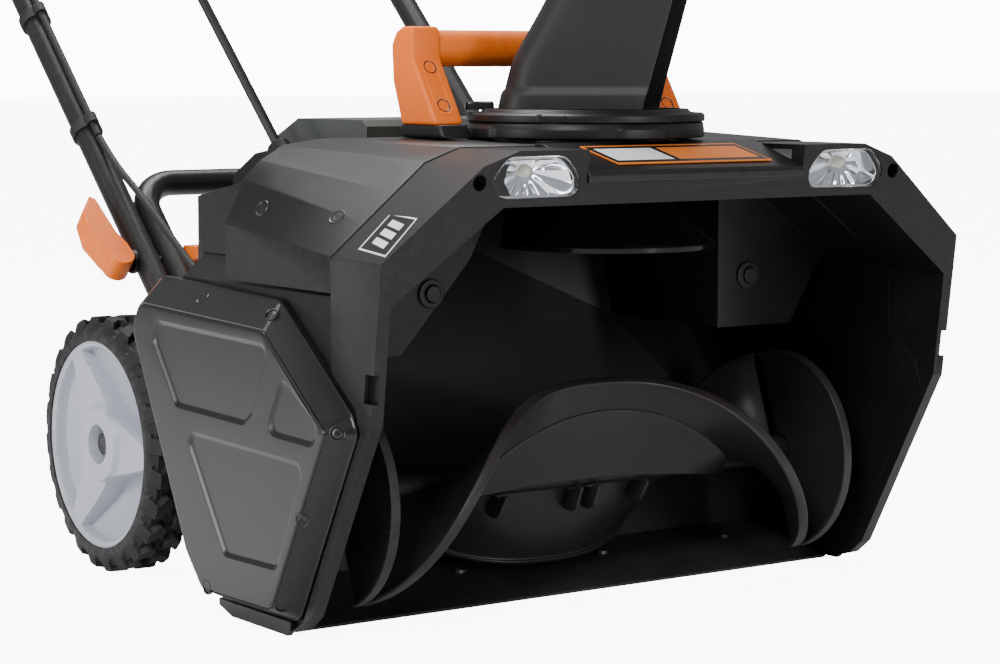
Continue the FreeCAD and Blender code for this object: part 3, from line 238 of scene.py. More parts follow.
def refined(node, width, material):
    """A merged copy of a CAD node with its edges rounded to that width, standing for the node."""
    angle = 30.0
    source = frame["nodes"][node]
    mesh = source.data.copy()
    mesh.name = node + "_finish"
    mesh.materials.clear()
    obj = bpy.data.objects.new(node + "_finish", mesh)
    bpy.context.scene.collection.objects.link(obj)
    bm = bmesh.new()
    bm.from_mesh(mesh)
    bmesh.ops.remove_doubles(bm, verts=bm.verts, dist=2e-6)
    bmesh.ops.dissolve_limit(bm, angle_limit=math.radians(0.6), verts=bm.verts, edges=bm.edges)
    bm.to_mesh(mesh)
    bm.free()
    if mesh.has_custom_normals:
        mesh.normals_split_custom_set_from_vertices([v.normal for v in mesh.vertices])
    smooth(obj, angle)
    bevel = obj.modifiers.new("edges", "BEVEL")
    bevel.width = width
    bevel.segments = 2
    bevel.limit_method = "ANGLE"
    bevel.angle_limit = math.radians(angle)
    bevel.harden_normals = True
    bevel.use_clamp_overlap = True
    bevel.miter_outer = "MITER_ARC"
    return place(obj, node, material)


# ---------------------------------------------------------------- materials

def new_group(name, inputs, outputs):
    """An empty node group with its named sockets, and its input and output nodes."""
    tree = bpy.data.node_groups.new(name, "ShaderNodeTree")
    for label, kind, value in inputs:
        socket = tree.interface.new_socket(label, in_out="INPUT", socket_type=kind)
        if value is not None:
            socket.default_value = value
    for label, kind in outputs:
        tree.interface.new_socket(label, in_out="OUTPUT", socket_type=kind)
    return tree, tree.nodes.new("NodeGroupInput"), tree.nodes.new("NodeGroupOutput")


def math_node(tree, operation, a, b=None, clamp=False):
    """A math node from sockets or numbers; gives its output socket."""
    made = tree.nodes.new("ShaderNodeMath")
    made.operation = operation
    made.use_clamp = clamp
    for entry, given in zip(made.inputs, (a, b)):
        if given is None:
            continue
        if isinstance(given, (int, float)):
            entry.default_value = given
        else:
            tree.links.new(given, entry)
    return made.outputs[0]


def noise(tree, coordinates, scale, detail=3.0, rough=0.5, stretch=None):
    if stretch is not None:
        mapping = tree.nodes.new("ShaderNodeMapping")
        mapping.inputs["Scale"].default_value = stretch
        tree.links.new(coordinates, mapping.inputs["Vector"])
        coordinates = mapping.outputs[0]
    made = tree.nodes.new("ShaderNodeTexNoise")
    made.inputs["Scale"].default_value = scale
    made.inputs["Detail"].default_value = detail
    made.inputs["Roughness"].default_value = rough
    tree.links.new(coordinates, made.inputs["Vector"])
    return made.outputs["Fac"]


def ramp(tree, value, low, high, to_low=0.0, to_high=1.0):
    made = tree.nodes.new("ShaderNodeMapRange")
    made.inputs["From Min"].default_value = low
    made.inputs["From Max"].default_value = high
    made.inputs["To Min"].default_value = to_low
    made.inputs["To Max"].default_value = to_high
    tree.links.new(value, made.inputs["Value"])
    return made.outputs[0]


def grain_group():
    """Moulded skin: fine spark-eroded grain over a slow waviness, as a height."""
    tree, entry, leave = new_group(
        "Moulded grain", [("Size", "NodeSocketFloat", 1.0), ("Waves", "NodeSocketFloat", 0.3)],
        [("Height", "NodeSocketFloat"), ("Patches", "NodeSocketFloat")])
    place_of = tree.nodes.new("ShaderNodeTexCoord").outputs["Object"]
    scaled = tree.nodes.new("ShaderNodeVectorMath")
    scaled.operation = "SCALE"
    tree.links.new(place_of, scaled.inputs[0])
    tree.links.new(entry.outputs["Size"], scaled.inputs["Scale"])
    fine = noise(tree, scaled.outputs[0], 1500.0, 2.0, 0.6)
    slow = noise(tree, place_of, 14.0, 2.0, 0.4)
    patches = noise(tree, place_of, 5.0, 4.0, 0.6)
    lifted = math_node(tree, "MULTIPLY", slow, entry.outputs["Waves"])
    tree.links.new(math_node(tree, "ADD", fine, lifted), leave.inputs["Height"])
    tree.links.new(patches, leave.inputs["Patches"])
    return tree


def edge_highlight_group():
    """Painted edge highlight: convex places, broken up by noise, as a mask that lightens them as
    if they caught the light.
    """
    tree, entry, leave = new_group(
        "Painted edge highlights", [("Amount", "NodeSocketFloat", 0.5), ("Spread", "NodeSocketFloat", 160.0)],
        [("Mask", "NodeSocketFloat")])
    place_of = tree.nodes.new("ShaderNodeTexCoord").outputs["Object"]
    point = tree.nodes.new("ShaderNodeNewGeometry").outputs["Pointiness"]
    edge = ramp(tree, point, 0.505, 0.56)
    scaled = tree.nodes.new("ShaderNodeVectorMath")
    scaled.operation = "SCALE"
    tree.links.new(place_of, scaled.inputs[0])
    tree.links.new(entry.outputs["Spread"], scaled.inputs["Scale"])
    broken = ramp(tree, noise(tree, scaled.outputs[0], 1.0, 5.0, 0.65), 0.38, 0.62)
    both = math_node(tree, "MULTIPLY", edge, broken)
    tree.links.new(math_node(tree, "MULTIPLY", both, entry.outputs["Amount"], True),
                   leave.inputs["Mask"])
    return tree


def dust_group():
    """Dust: more on faces that look up, in cloudy patches with a few specks, as a mask."""
    tree, entry, leave = new_group(
        "Settled dust", [("Amount", "NodeSocketFloat", 0.3)], [("Mask", "NodeSocketFloat")])
    place_of = tree.nodes.new("ShaderNodeTexCoord").outputs["Object"]
    split = tree.nodes.new("ShaderNodeSeparateXYZ")
    tree.links.new(tree.nodes.new("ShaderNodeNewGeometry").outputs["Normal"], split.inputs[0])
    upward = ramp(tree, split.outputs["Z"], -0.2, 1.0, 0.25, 1.0)
    clouds = ramp(tree, noise(tree, place_of, 9.0, 5.0, 0.65), 0.4, 0.75)
    specks = ramp(tree, noise(tree, place_of, 420.0, 1.0, 0.5), 0.72, 0.78)
    both = math_node(tree, "MAXIMUM", math_node(tree, "MULTIPLY", clouds, upward),
                     math_node(tree, "MULTIPLY", specks, 0.6))
    tree.links.new(math_node(tree, "MULTIPLY", both, entry.outputs["Amount"], True),
                   leave.inputs["Mask"])
    return tree


def scratch_group():
    """Fine scratches: thin bands of a stretched noise crossed with a patch mask."""
    tree, entry, leave = new_group(
        "Fine scratches", [("Amount", "NodeSocketFloat", 0.3)], [("Mask", "NodeSocketFloat")])
    place_of = tree.nodes.new("ShaderNodeTexCoord").outputs["Object"]
    first = noise(tree, place_of, 90.0, 2.0, 0.5, (0.5, 9.0, 1.2))
    second = noise(tree, place_of, 120.0, 2.0, 0.5, (8.0, 0.6, 3.0))
    thin = math_node(tree, "MAXIMUM", ramp(tree, first, 0.66, 0.7), ramp(tree, second, 0.68, 0.71))
    where = ramp(tree, noise(tree, place_of, 12.0, 3.0, 0.6), 0.5, 0.6)
    both = math_node(tree, "MULTIPLY", thin, where)
    tree.links.new(math_node(tree, "MULTIPLY", both, entry.outputs["Amount"], True),
                   leave.inputs["Mask"])
    return tree


GROUPS = {}
MATERIALS = {}


def placed_group(tree, name, **values):
    """One of the shared groups placed in a material's tree, with its own values."""
    makers = {"grain": grain_group, "edge_highlight": edge_highlight_group, "dust": dust_group,
              "scratch": scratch_group}
    if name not in GROUPS:
        GROUPS[name] = makers[name]()
    made = tree.nodes.new("ShaderNodeGroup")
    made.node_tree = GROUPS[name]
    for key, value in values.items():
        made.inputs[key].default_value = value
    return made


def mixed(tree, factor, a, b):
    """A colour between a and b by a mask; a and b are colours or sockets."""
    made = tree.nodes.new("ShaderNodeMix")
    made.data_type = "RGBA"
    tree.links.new(factor, made.inputs["Factor"])
    for entry, given in (("A", a), ("B", b)):
        socket = [s for s in made.inputs if s.name == entry and s.type == "RGBA"][0]
        if isinstance(given, bpy.types.NodeSocket):
            tree.links.new(given, socket)
        else:
            socket.default_value = (*given[:3], 1.0)
    return [s for s in made.outputs if s.type == "RGBA"][0]


def tinted(base, factor):
    return tuple(min(1.0, c * factor) for c in base)


# Convex edges get a painted highlight: a paler tone mixed in by a mask of convex places, standing
# in for light caught on them.
def coated(name, base, rough=0.4, spread=0.05, grain=0.12, grain_size=1.0, waves=0.4, edge_highlight=0.35,
           edge_highlight_colour=None, dust=0.1, scratch=0.0, metallic=0.0, coat=0.0, coat_rough=0.2,
           specular=0.3, vary=0.12):
    """A moulded or painted finish: a base colour that drifts in patches, lightened on its convex
    edges by a painted highlight and dusted on top, with grain in its height and patches in its
    roughness."""
    if name in MATERIALS:
        return MATERIALS[name]
    material = bpy.data.materials.new(name)
    material.use_nodes = True
    tree = material.node_tree
    shader = tree.nodes["Principled BSDF"]
    skin = placed_group(tree, "grain", Size=grain_size, Waves=waves)
    edges = placed_group(tree, "edge_highlight", Amount=edge_highlight)
    dusty = placed_group(tree, "dust", Amount=dust)
    drift = ramp(tree, skin.outputs["Patches"], 0.3, 0.7)
    body = mixed(tree, drift, tinted(base, 1.0 - vary), tinted(base, 1.0 + vary))
    # Painted highlight tone for convex edges: the given colour, else the base made a little paler.
    edge_highlight_tone = edge_highlight_colour or tuple(0.8 * c + 0.022 for c in base)
    body = mixed(tree, edges.outputs["Mask"], body, edge_highlight_tone)
    body = mixed(tree, dusty.outputs["Mask"], body, (0.30, 0.29, 0.28))
    tree.links.new(body, shader.inputs["Base Color"])
    level = ramp(tree, skin.outputs["Patches"], 0.25, 0.75, rough - spread, rough + spread)
    level = math_node(tree, "ADD", level,
                      math_node(tree, "MULTIPLY", dusty.outputs["Mask"], 0.5), True)
    if scratch:
        marks = placed_group(tree, "scratch", Amount=scratch)
        level = math_node(tree, "ADD", level,
                          math_node(tree, "MULTIPLY", marks.outputs["Mask"], 0.25), True)
    tree.links.new(level, shader.inputs["Roughness"])
    bump = tree.nodes.new("ShaderNodeBump")
    bump.inputs["Strength"].default_value = grain
    bump.inputs["Distance"].default_value = 0.0004
    tree.links.new(skin.outputs["Height"], bump.inputs["Height"])
    tree.links.new(bump.outputs["Normal"], shader.inputs["Normal"])
    shader.inputs["Metallic"].default_value = metallic
    shader.inputs["Coat Weight"].default_value = coat
    shader.inputs["Coat Roughness"].default_value = coat_rough
    shader.inputs["Specular IOR Level"].default_value = specular
    MATERIALS[name] = material
    return material


def shell_plastic():
    return coated("Housing plastic", colours().shell, rough=0.40, grain=0.10, dust=0.03, edge_highlight=0.3)


def cover_plastic():
    return coated("Side cover plastic", colours().cover, rough=0.30, grain=0.05, dust=0.02,
                  edge_highlight=0.3, coat=0.25, coat_rough=0.22)


def inner_plastic():
    return coated("Inner housing plastic", tinted(colours().shell, 0.9), rough=0.42, grain=0.08,
                  dust=0.05, edge_highlight=0.2, scratch=0.5)


def auger_plastic():
    return coated("Auger plastic", colours().auger, rough=0.33, spread=0.1, grain=0.05, dust=0.04,
                  edge_highlight=0.5, scratch=0.7, coat=0.1)


def chute_plastic():
    return coated("Chute plastic", tinted(colours().shell, 1.9), rough=0.46, grain=0.16,
                  grain_size=0.7, dust=0.04, edge_highlight=0.4)


def tube_coat():
    # The edge colour given here is the tone of a painted highlight on convex edges.
    return coated("Powder coat", colours().tube, rough=0.38, grain=0.3, grain_size=0.45,
                  waves=0.3, dust=0.03, edge_highlight=0.2, edge_highlight_colour=(0.05, 0.048, 0.047))


def orange_plastic():
    # The edge colour given here is the tone of a painted highlight on convex edges.
    return coated("Orange plastic", colours().bright, rough=0.42, grain=0.14, dust=0.02,
                  edge_highlight=0.25, edge_highlight_colour=(1.0, 0.36, 0.07), vary=0.06)


def hub_plastic():
    # The edge colour given here is the tone of a painted highlight on convex edges.
    return coated("Hub plastic", colours().hub, rough=0.36, grain=0.10, dust=0.05, edge_highlight=0.3,
                  edge_highlight_colour=(0.8, 0.8, 0.84), vary=0.04, specular=0.45)


def tyre_rubber():
    # The edge colour given here is the tone of a painted highlight on convex edges.
    return coated("Tyre rubber", colours().tyre, rough=0.62, spread=0.1, grain=0.35,
                  grain_size=0.5, dust=0.10, edge_highlight=0.5, edge_highlight_colour=(0.06, 0.06, 0.06))


def soft_rubber():
    return coated("Soft rubber", (0.012, 0.012, 0.0125), rough=0.6, grain=0.3, grain_size=0.6,
                  dust=0.08)


def dark_steel():
    # The edge colour given here is the tone of a painted highlight on convex edges.
    return coated("Dark steel", (0.02, 0.02, 0.022), rough=0.34, grain=0.1, dust=0.05, edge_highlight=0.5,
                  edge_highlight_colour=(0.16, 0.16, 0.17), metallic=0.7)


def cast_metal():
    return coated("Cast metal", (0.42, 0.43, 0.45), rough=0.45, grain=0.3, grain_size=0.5,
                  dust=0.1, metallic=0.9)


def gloss_plastic():
    return coated("Gloss black plastic", tinted(colours().shell, 0.8), rough=0.16, grain=0.02,
                  dust=0.03, edge_highlight=0.2, coat=0.4, coat_rough=0.1)


def smoked_plastic():
    return coated("Smoked plastic", (0.055, 0.062, 0.055), rough=0.24, grain=0.03, dust=0.05,
                  edge_highlight=0.25, coat=0.3, coat_rough=0.15)


def bar_paint():
    return coated("Orange ink", (0.80, 0.20, 0.02), rough=0.4, grain=0.05, edge_highlight=0.15, dust=0.03,
                  vary=0.04)


def pale_paint():
    return coated("Pale ink", (0.78, 0.78, 0.80), rough=0.4, grain=0.05, edge_highlight=0.15, dust=0.03,
                  vary=0.04)


def bulb_glow():
    return coated("Lamp chip", (0.85, 0.80, 0.62), rough=0.15, grain=0.0, edge_highlight=0.0, dust=0.0,
                  coat=0.6, coat_rough=0.05, vary=0.08)


def mirror_metal():
    return coated("Lamp mirror", (0.9, 0.91, 0.93), rough=0.09, spread=0.03, grain=0.02, dust=0.0,
                  edge_highlight=0.0, metallic=1.0, vary=0.02)


def clear_cover():
    """Clear lamp cover: a thin smooth glass with a faint haze in its roughness."""
    if "Lamp cover" in MATERIALS:
        return MATERIALS["Lamp cover"]
    material = bpy.data.materials.new("Lamp cover")
    material.use_nodes = True
    tree = material.node_tree
    shader = tree.nodes["Principled BSDF"]
    shader.inputs["Base Color"].default_value = (0.96, 0.98, 1.0, 1.0)
    shader.inputs["Transmission Weight"].default_value = 1.0
    shader.inputs["IOR"].default_value = 1.3
    skin = placed_group(tree, "grain", Size=0.5, Waves=0.5)
    tree.links.new(ramp(tree, skin.outputs["Patches"], 0.3, 0.7, 0.01, 0.05),
                   shader.inputs["Roughness"])
    MATERIALS["Lamp cover"] = material
    return material


# ---------------------------------------------------------------- pieces

def y_z(x, corners):
    """Points of a plane of constant X from (y, z) pairs in millimetres."""
    corners = np.asarray(corners, float) / 1000
    return np.column_stack([np.full(len(corners), x / 1000), corners])


def quarter(count):
    """Steps from 0 to 1 and their two halves of a quarter circle: sine, and one less cosine."""
    t = np.linspace(0, math.pi / 2, count)
    return np.sin(t), 1 - np.cos(t)


def flat_fill(points, loops):
    """Triangles that fill a flat region: its outer loop less its inner loops. The loops are
    lists of point numbers. Gives lists of three point numbers."""
    bm = bmesh.new()
    verts = {}
    for loop in loops:
        for i in loop:
            verts[i] = bm.verts.new(points[i])
    edges = []
    for loop in loops:
        for i, j in zip(loop, loop[1:] + loop[:1]):
            edges.append(bm.edges.new((verts[i], verts[j])))
    bmesh.ops.triangle_fill(bm, use_beauty=True, use_dissolve=False, edges=edges)
    number = {v: i for i, v in verts.items()}
    faces = [[number[v] for v in face.verts] for face in bm.faces]
    bm.free()
    return faces


COVER_OUTLINE = [(145, 248.5), (-37, 242.6), (-133, 170.7), (-141, 158), (-61, 14),
                 (53, 12.4), (86, 47.5), (171, 212)]
COVER_BEVELS = [20, 11, 10, 10, 10, 10, 12, 14]
COVER_PANELS = [
    [(112.5, 218), (-57, 214), (-30, 160), (-18, 151.5), (85, 154), (123, 203)],
    [(-72, 194), (-119, 166), (-117, 146.7), (-46, 148.7)],
    [(75, 139.7), (-104, 135.3), (-63, 53), (13, 51.5)],
]
COVER_SCREWS = [(62, 237), (-40, 233), (-133, 159), (-95, 94), (-60, 27), (40, 25)]
COVER_INNER, COVER_RIM, RIM_EDGE = 262.3, 6.0, 1.0
COVER_DEPTHS = {-1: 25.7, 1: 13.7}


def band(a, b):
    """Quads between two loops of point numbers."""
    ahead = list(range(1, len(a))) + [0]
    return [[a[i], a[j], b[j], b[i]] for i, j in enumerate(ahead)]


def cover_face(side):
    """A side cover's outer skin, in sections from its rim to its face. Between them the outline
    moves in by its bevels and out in X by an even share, and ends in a quarter circle. The face
    is flat, with panels whose walls slope down to their floors."""
    outline = np.array(COVER_OUTLINE, float)
    bevels = np.array(COVER_BEVELS, float)
    depth, rim, soft = COVER_DEPTHS[side], COVER_RIM, 1.6
    sections = [(x, inset(outline, move)) for x, move in
                ((0.0, 0.0), (rim - 1.2, 0.0), (rim - 0.4, 0.25), (rim, RIM_EDGE))]
    for t in (0.06, 0.5, 0.94):
        moves = RIM_EDGE + (bevels - RIM_EDGE) * t
        sections.append((rim + (depth - rim) * t, inset(outline, moves)))
    for s, c in zip(*quarter(4)):
        sections.append((depth - soft + soft * s * 0.98, inset(outline, bevels + 0.4 + 2.2 * c)))
    points, faces, openings = [], [], []

    def add_loop(x, ring):
        start = sum(len(p) for p in points)
        points.append(y_z(side * (COVER_INNER + x), ring))
        return list(range(start, start + len(ring)))

    loops = [add_loop(x, rounded(corners, 13, 7)) for x, corners in sections]
    for a, b in zip(loops, loops[1:]):
        faces += band(a, b)
    level = sections[-1][0]
    for panel in COVER_PANELS:
        walls = [add_loop(level + drop, rounded(inset(panel, move), 9 - move * 0.6, 6))
                 for drop, move in ((0.0, 0.0), (-0.25, 0.9), (-1.7, 3.0), (-2.0, 4.4))]
        openings.append(walls[0])
        for a, b in zip(walls, walls[1:]):
            faces += band(a, b)
        faces.append(walls[-1])
    points = np.concatenate(points)
    faces += flat_fill(points, [loops[-1]] + openings)
    return points, faces


def side_cover_piece(name, side, cad):
    """The cover's skin with a wall behind it, shaded flat on its flat faces."""
    cover = mesh_piece(name, *cover_face(side), 40)
    bm = bmesh.new()
    bm.from_mesh(cover.data)
    bmesh.ops.recalc_face_normals(bm, faces=bm.faces)
    tallest = max(bm.faces, key=lambda f: side * f.calc_center_median().x)
    if tallest.normal.x * side < 0:
        bmesh.ops.reverse_faces(bm, faces=bm.faces)
    bm.to_mesh(cover.data)
    bm.free()
    wall = cover.modifiers.new("wall", "SOLIDIFY")
    wall.thickness = 0.0024
    wall.offset = -1
    smooth(cover, 40)
    flat = cover.modifiers.new("flat_faces", "WEIGHTED_NORMAL")
    flat.keep_sharp = True
    return place(cover, cad, cover_plastic())


def screw_spots():
    """Every case screw's place and heading: the covers' on their slopes, whose headings come from
    how the cover's height changes across them, and the posts' and the scraper's."""
    spots, reach = [], 2
    for side, depth in COVER_DEPTHS.items():
        for y, z in COVER_SCREWS:
            high, ahead, behind, above, below = (
                cover_height(y + dy, z + dz, depth)
                for dy, dz in ((0, 0), (reach, 0), (-reach, 0), (0, reach), (0, -reach)))
            heading = (side, (behind - ahead) / (2 * reach), (below - above) / (2 * reach))
            spots.append(((side * (COVER_INNER + high), y, z), heading))
    for side in (-1, 1):
        for share in (0.42, 0.91):
            spots.append(((side * POST_SIDE, *(POST_FOOT + POST_SLOPE * share)),
                          (0, -POST_SLOPE[1], POST_SLOPE[0])))
        for x in (200, 70):
            spots.append(((side * x, 30, 15.9), (0, 0, 1)))
    return spots


def turned_heads(profile, spots, around, across):
    """One profile of (radius, height) turned round each spot's heading, as points and faces. The
    first point of each ring lies square to the heading and to the direction across."""
    profile = np.array(profile)
    turn = np.linspace(0, 2 * math.pi, around, endpoint=False)
    points, faces = [], []
    for k, (spot, heading) in enumerate(spots):
        heading = np.array(heading, float) / np.linalg.norm(heading)
        side = np.cross(heading, across)
        side /= np.linalg.norm(side)
        ring = side * np.cos(turn)[:, None] + np.cross(heading, side) * np.sin(turn)[:, None]
        points.append((np.array(spot) + profile[:, None, :1] * ring
                       + profile[:, None, 1:] * heading).reshape(-1, 3))
        faces += grid_faces(len(profile), around, close_columns=True,
                            start=k * len(profile) * around)
    return np.concatenate(points), faces


def screw_seats():
    """Every case screw's head: a dished ring, a dome and a sunk socket, kept just inside the
    covers' outermost faces."""
    profile = [(6.0, -2.4), (5.6, 0.25), (5.2, 0.4), (4.6, 0.0), (4.2, -1.4), (3.9, -1.4),
               (3.6, -0.5), (3.0, -0.2), (1.9, -0.2), (1.7, -1.2), (0.01, -1.2)]
    points, faces = turned_heads(profile, screw_spots(), 24, (0.3, 0.8, 0.5))
    points[:, 0] = np.clip(points[:, 0], -288.2, 276.2)
    seats = mesh_piece("case_screw_heads", points / 1000, faces, 35)
    return place(seats, "case_screws", dark_steel())


def cover_height(y, z, depth):
    """How far the cover stands out at (y, z): along each edge's bevel it climbs evenly, and it is
    flat inside them."""
    outline = np.array(COVER_OUTLINE, float)
    ahead = np.roll(outline, -1, axis=0) - outline
    normal = np.stack([ahead[:, 1], -ahead[:, 0]], 1) / np.linalg.norm(ahead, axis=1)[:, None]
    centre = outline.mean(0)
    normal *= np.sign(((centre - outline) * normal).sum(1))[:, None]
    distance = ((np.array([y, z]) - outline) * normal).sum(1)
    share = np.clip((distance - RIM_EDGE) / (np.array(COVER_BEVELS) - RIM_EDGE), 0, 1).min()
    return COVER_RIM + (depth - COVER_RIM) * share


BLADE_HALF, BLADE_RIM, BLADE_TWIST, BLADE_POWER = 207.0, 82.0, 136.4, 2.3


def blade_angle(x):
    """A blade rim's angle round the auger at x: 114 degrees plus 136.4 times the 2.3rd power of
    the distance from the middle."""
    return np.radians(114.0 + BLADE_TWIST * (np.abs(x) / BLADE_HALF) ** BLADE_POWER)


def auger_blade(name, turned, cad):
    """A blade as a rounded T section carried along the shaft: at each x the section's radial arm
    points at the blade angle, and its rim leans with the helix."""
    half, rim = BLADE_HALF, BLADE_RIM
    x = half * np.sin(np.linspace(-math.pi / 2, math.pi / 2, 181))
    angle = blade_angle(x) + math.radians(turned)
    rate = (np.radians(BLADE_TWIST) * BLADE_POWER / half
            * (np.abs(x) / half) ** (BLADE_POWER - 1))
    slope = np.arctan(rim * rate) * np.sign(x)
    thick, wide = sizes().blade_thick * 500, sizes().rim_wide * 500
    under = rim - 3.5
    corners = np.array([(12.35, -thick), (under, -thick), (under, -wide), (rim, -wide),
                        (rim, wide), (under, wide), (under, thick), (12.35, thick)])
    section = rounded(corners, [0.1, 2.4, 0.9, 1.2, 1.2, 0.9, 2.4, 0.1], 5)
    outward = np.stack([0 * x, np.cos(angle), np.sin(angle)], 1)
    forward = np.stack([0 * x, -np.sin(angle), np.cos(angle)], 1)
    across = forward * np.cos(slope)[:, None]
    across[:, 0] -= np.sin(slope)
    middle = np.stack([x, 0 * x + AUGER_BACK, 0 * x + AUGER_HIGH], 1)
    points = (middle[:, None] + outward[:, None] * section[:, :1]
              + across[:, None] * section[:, 1:]) / 1000
    blade = loft(name, points, 35)
    return place(blade, cad, auger_plastic())


def blade_plate():
    """The front blade's flat middle: ruled between a bowed line on the blade's web and a level
    line before the shaft, both closing to points at the ends, and thickened."""
    u = np.linspace(-1, 1, 61)
    v = np.linspace(0, 1, 9)
    x = 25.0 + 128.0 * u
    angle = blade_angle(x)
    bow = 1 - u ** 2
    high = 1.5 + 54.0 * bow ** 0.62
    low = 1.5 + 0 * bow
    reach = high[:, None] * v + low[:, None] * (1 - v)
    lead = (14.6 * (1 - v) + 2.4 * v)[None, :] + 0 * reach
    points = np.stack([
        np.broadcast_to(x[:, None], reach.shape),
        AUGER_BACK + reach * np.cos(angle)[:, None] - lead * np.sin(angle)[:, None],
        AUGER_HIGH + reach * np.sin(angle)[:, None] + lead * np.cos(angle)[:, None]], -1) / 1000
    plate = mesh_piece("auger_blade_plate", points.reshape(-1, 3), grid_faces(len(u), len(v)), 40)
    thicken(plate, 0.0026)
    return dress(plate, auger_plastic(), "auger")


def thicken(obj, depth):
    """Gives an open skin a wall on its inner side, with soft edges round the openings."""
    wall = obj.modifiers.new("wall", "SOLIDIFY")
    wall.thickness = depth
    wall.offset = -1
    edge = obj.modifiers.new("lip", "BEVEL")
    edge.width = depth * 0.3
    edge.segments = 2
    edge.limit_method = "ANGLE"
    edge.angle_limit = math.radians(50)
    edge.harden_normals = True
    return obj


def soft_step(value, low, high):
    """0 below low, 1 above high, and a cubic with level ends between them."""
    t = np.clip((value - low) / (high - low), 0, 1)
    return t * t * (3 - 2 * t)


def tyre(side, cad):
    """A turned tyre. Round the axle its radius is 98 mm, plus fine ribs along the tread, plus a
    lug mask: a sawtooth in the angle, slanted across each half and staggered between them."""
    rim_side = [(84.0, 0.0), (90.0, 0.0), (92.5, 1.6), (95.4, 4.2), (97.0, 5.0)]
    across = np.linspace(0, 1, 45)
    radii = np.concatenate([[r for r, _ in rim_side], 0 * across + 98.0,
                            [r for r, _ in rim_side[::-1]]])
    place_x = np.concatenate([[x for _, x in rim_side], 5.6 + 31.8 * across,
                              [43.0 - x for _, x in rim_side[::-1]]])
    turn = np.linspace(0, 2 * math.pi, 576, endpoint=False)
    half, count = 21.5, 24
    lateral = (place_x - half) / half
    shift = np.where(lateral > 0, 0.5, 0.0)
    slant = 0.55 * np.abs(lateral) + 0.25 * np.sin(6 * np.abs(lateral))
    phase = (turn[None, :] * count / (2 * math.pi) + (shift + slant)[:, None]) % 1.0
    lug = soft_step(phase, 0.04, 0.10) - soft_step(phase, 0.56, 0.62)
    inner_edge = soft_step(np.abs(lateral), 0.05, 0.12)
    outer_edge = soft_step(1 - np.abs(lateral), 0.0, 0.16)
    lug = lug * (inner_edge * outer_edge)[:, None]
    ribs = 0.35 * np.sin(place_x * 3.1) * (np.abs(lateral) < 0.72)
    deep = sizes().tread_deep * 1000
    radius = radii[:, None] + ribs[:, None] * (1 - lug) + deep * lug
    x = side * (227.0 + place_x)[:, None] + 0 * radius
    made = wheel_skin(cad + "_tread", x, radius, turn, 38)
    return place(made, cad, tyre_rubber())


def wheel_skin(name, x, radius, turn, angle):
    """A closed skin round the axle, from each point's place in X, its radius and its turn."""
    points = np.stack([x, AXLE_BACK + radius * np.cos(turn), AXLE_HIGH + radius * np.sin(turn)],
                      -1) / 1000
    return mesh_piece(name, points.reshape(-1, 3),
                      grid_faces(*radius.shape, close_rows=True, close_columns=True), angle)


def hub(side, cad):
    """A wheel hub as a turned back and a star front. The front's depth is the arms' cone, less a
    dish wherever a point is further from the nearest arm's middle line than the arm's half
    width, with a raised ring and a bore in the middle."""
    outer, rim = 269.0, 83.9
    back = np.array([(6.1, -46.0), (20.0, -46.0), (30.0, -27.0), (78.5, -22.0), (79.5, -41.0),
                     (rim, -41.4), (rim, -0.6), (82.8, 0.0)])
    front_r = np.concatenate([np.linspace(81.5, 30.5, 64), np.linspace(30, 15.4, 18),
                              np.linspace(15, 6.1, 12)])
    turn = np.linspace(0, 2 * math.pi, 480, endpoint=False)
    share = (front_r / rim)[:, None]
    arm = np.radians(62.0) + np.arange(3) * 2 * math.pi / 3
    away = np.abs((turn[:, None] - arm + math.pi) % (2 * math.pi) - math.pi).min(1)[None, :]
    along = share * np.cos(away)
    off = share * np.sin(np.minimum(away, math.pi / 2))
    width = 0.335 - 0.25 * along
    recess = soft_step(off - width, 0.0, 0.022) * soft_step(0.955 - share, 0.0, 0.03)
    deep = sizes().spoke_deep * 1000
    cone = -1.6 - 3.5 * soft_step(0.97 - share, 0.0, 0.5)
    dish = 4.0 + (deep + 1.5) * np.sqrt(np.clip(1 - share, 0, 1))
    level = cone - recess * dish
    ring = soft_step(0.385 - share, 0.0, 0.05)
    level = level * (1 - ring) + ring * -0.4
    bore = soft_step(0.195 - share, 0.0, 0.02)
    level = level * (1 - bore) + bore * -13.0
    level = np.broadcast_to(level, (len(front_r), len(turn)))
    radius = np.concatenate([np.broadcast_to(back[:, :1], (len(back), len(turn))),
                             np.broadcast_to(front_r[:, None], level.shape)])
    x = np.concatenate([np.broadcast_to(back[:, 1:], (len(back), len(turn))), level])
    made = wheel_skin(cad + "_star", side * (outer + x), radius, turn, 34)
    return place(made, cad, hub_plastic())


POST_PROFILE = [(-22, 354.1), (29, 354.1), (45, 396), (47, 424), (41, 434), (32, 438),
                (18, 438), (16, 412.5)]
POST_FOOT = np.array(POST_PROFILE[0], float)
POST_SLOPE = np.array(POST_PROFILE[-1], float) - POST_FOOT


def carry_posts():
    """Each post as one rounded side profile carried across its width, drawn in a little by a
    quarter circle at both faces, over a black plinth; the front slope has a long sunk slot."""
    sine, rest = quarter(5)
    moves = [(-13.0 + 3.0 * c, 3.0 * (1 - s)) for s, c in zip(sine, rest)]
    moves += [(-x, move) for x, move in moves[::-1]]
    slope = POST_SLOPE[0] / POST_SLOPE[1]
    plinth = [(-25, 354.1), (33, 354.1), (37, 364.2), (-22 + 10 * slope - 4, 364.2)]
    upper = [(-22 + 10 * slope, 364.0), (33, 364.0)] + POST_PROFILE[2:]
    for name, outline, bends, paint, slot in (
            ("carry_post", upper, [2, 2, 8, 7, 6, 5, 4, 10], orange_plastic(), "orange"),
            ("carry_plinth", plinth, [1, 1, 2, 2], shell_plastic(), "black_shell")):
        for side, word in ((-1, "left"), (1, "right")):
            sections = []
            for x, move in moves:
                drawn = rounded(inset(outline, move * 0.8), bends, 6)
                sections.append(y_z(side * POST_SIDE + x, drawn))
            dress(loft("%s_%s" % (name, word), sections, 34), paint)
    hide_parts("carry_handle_posts")


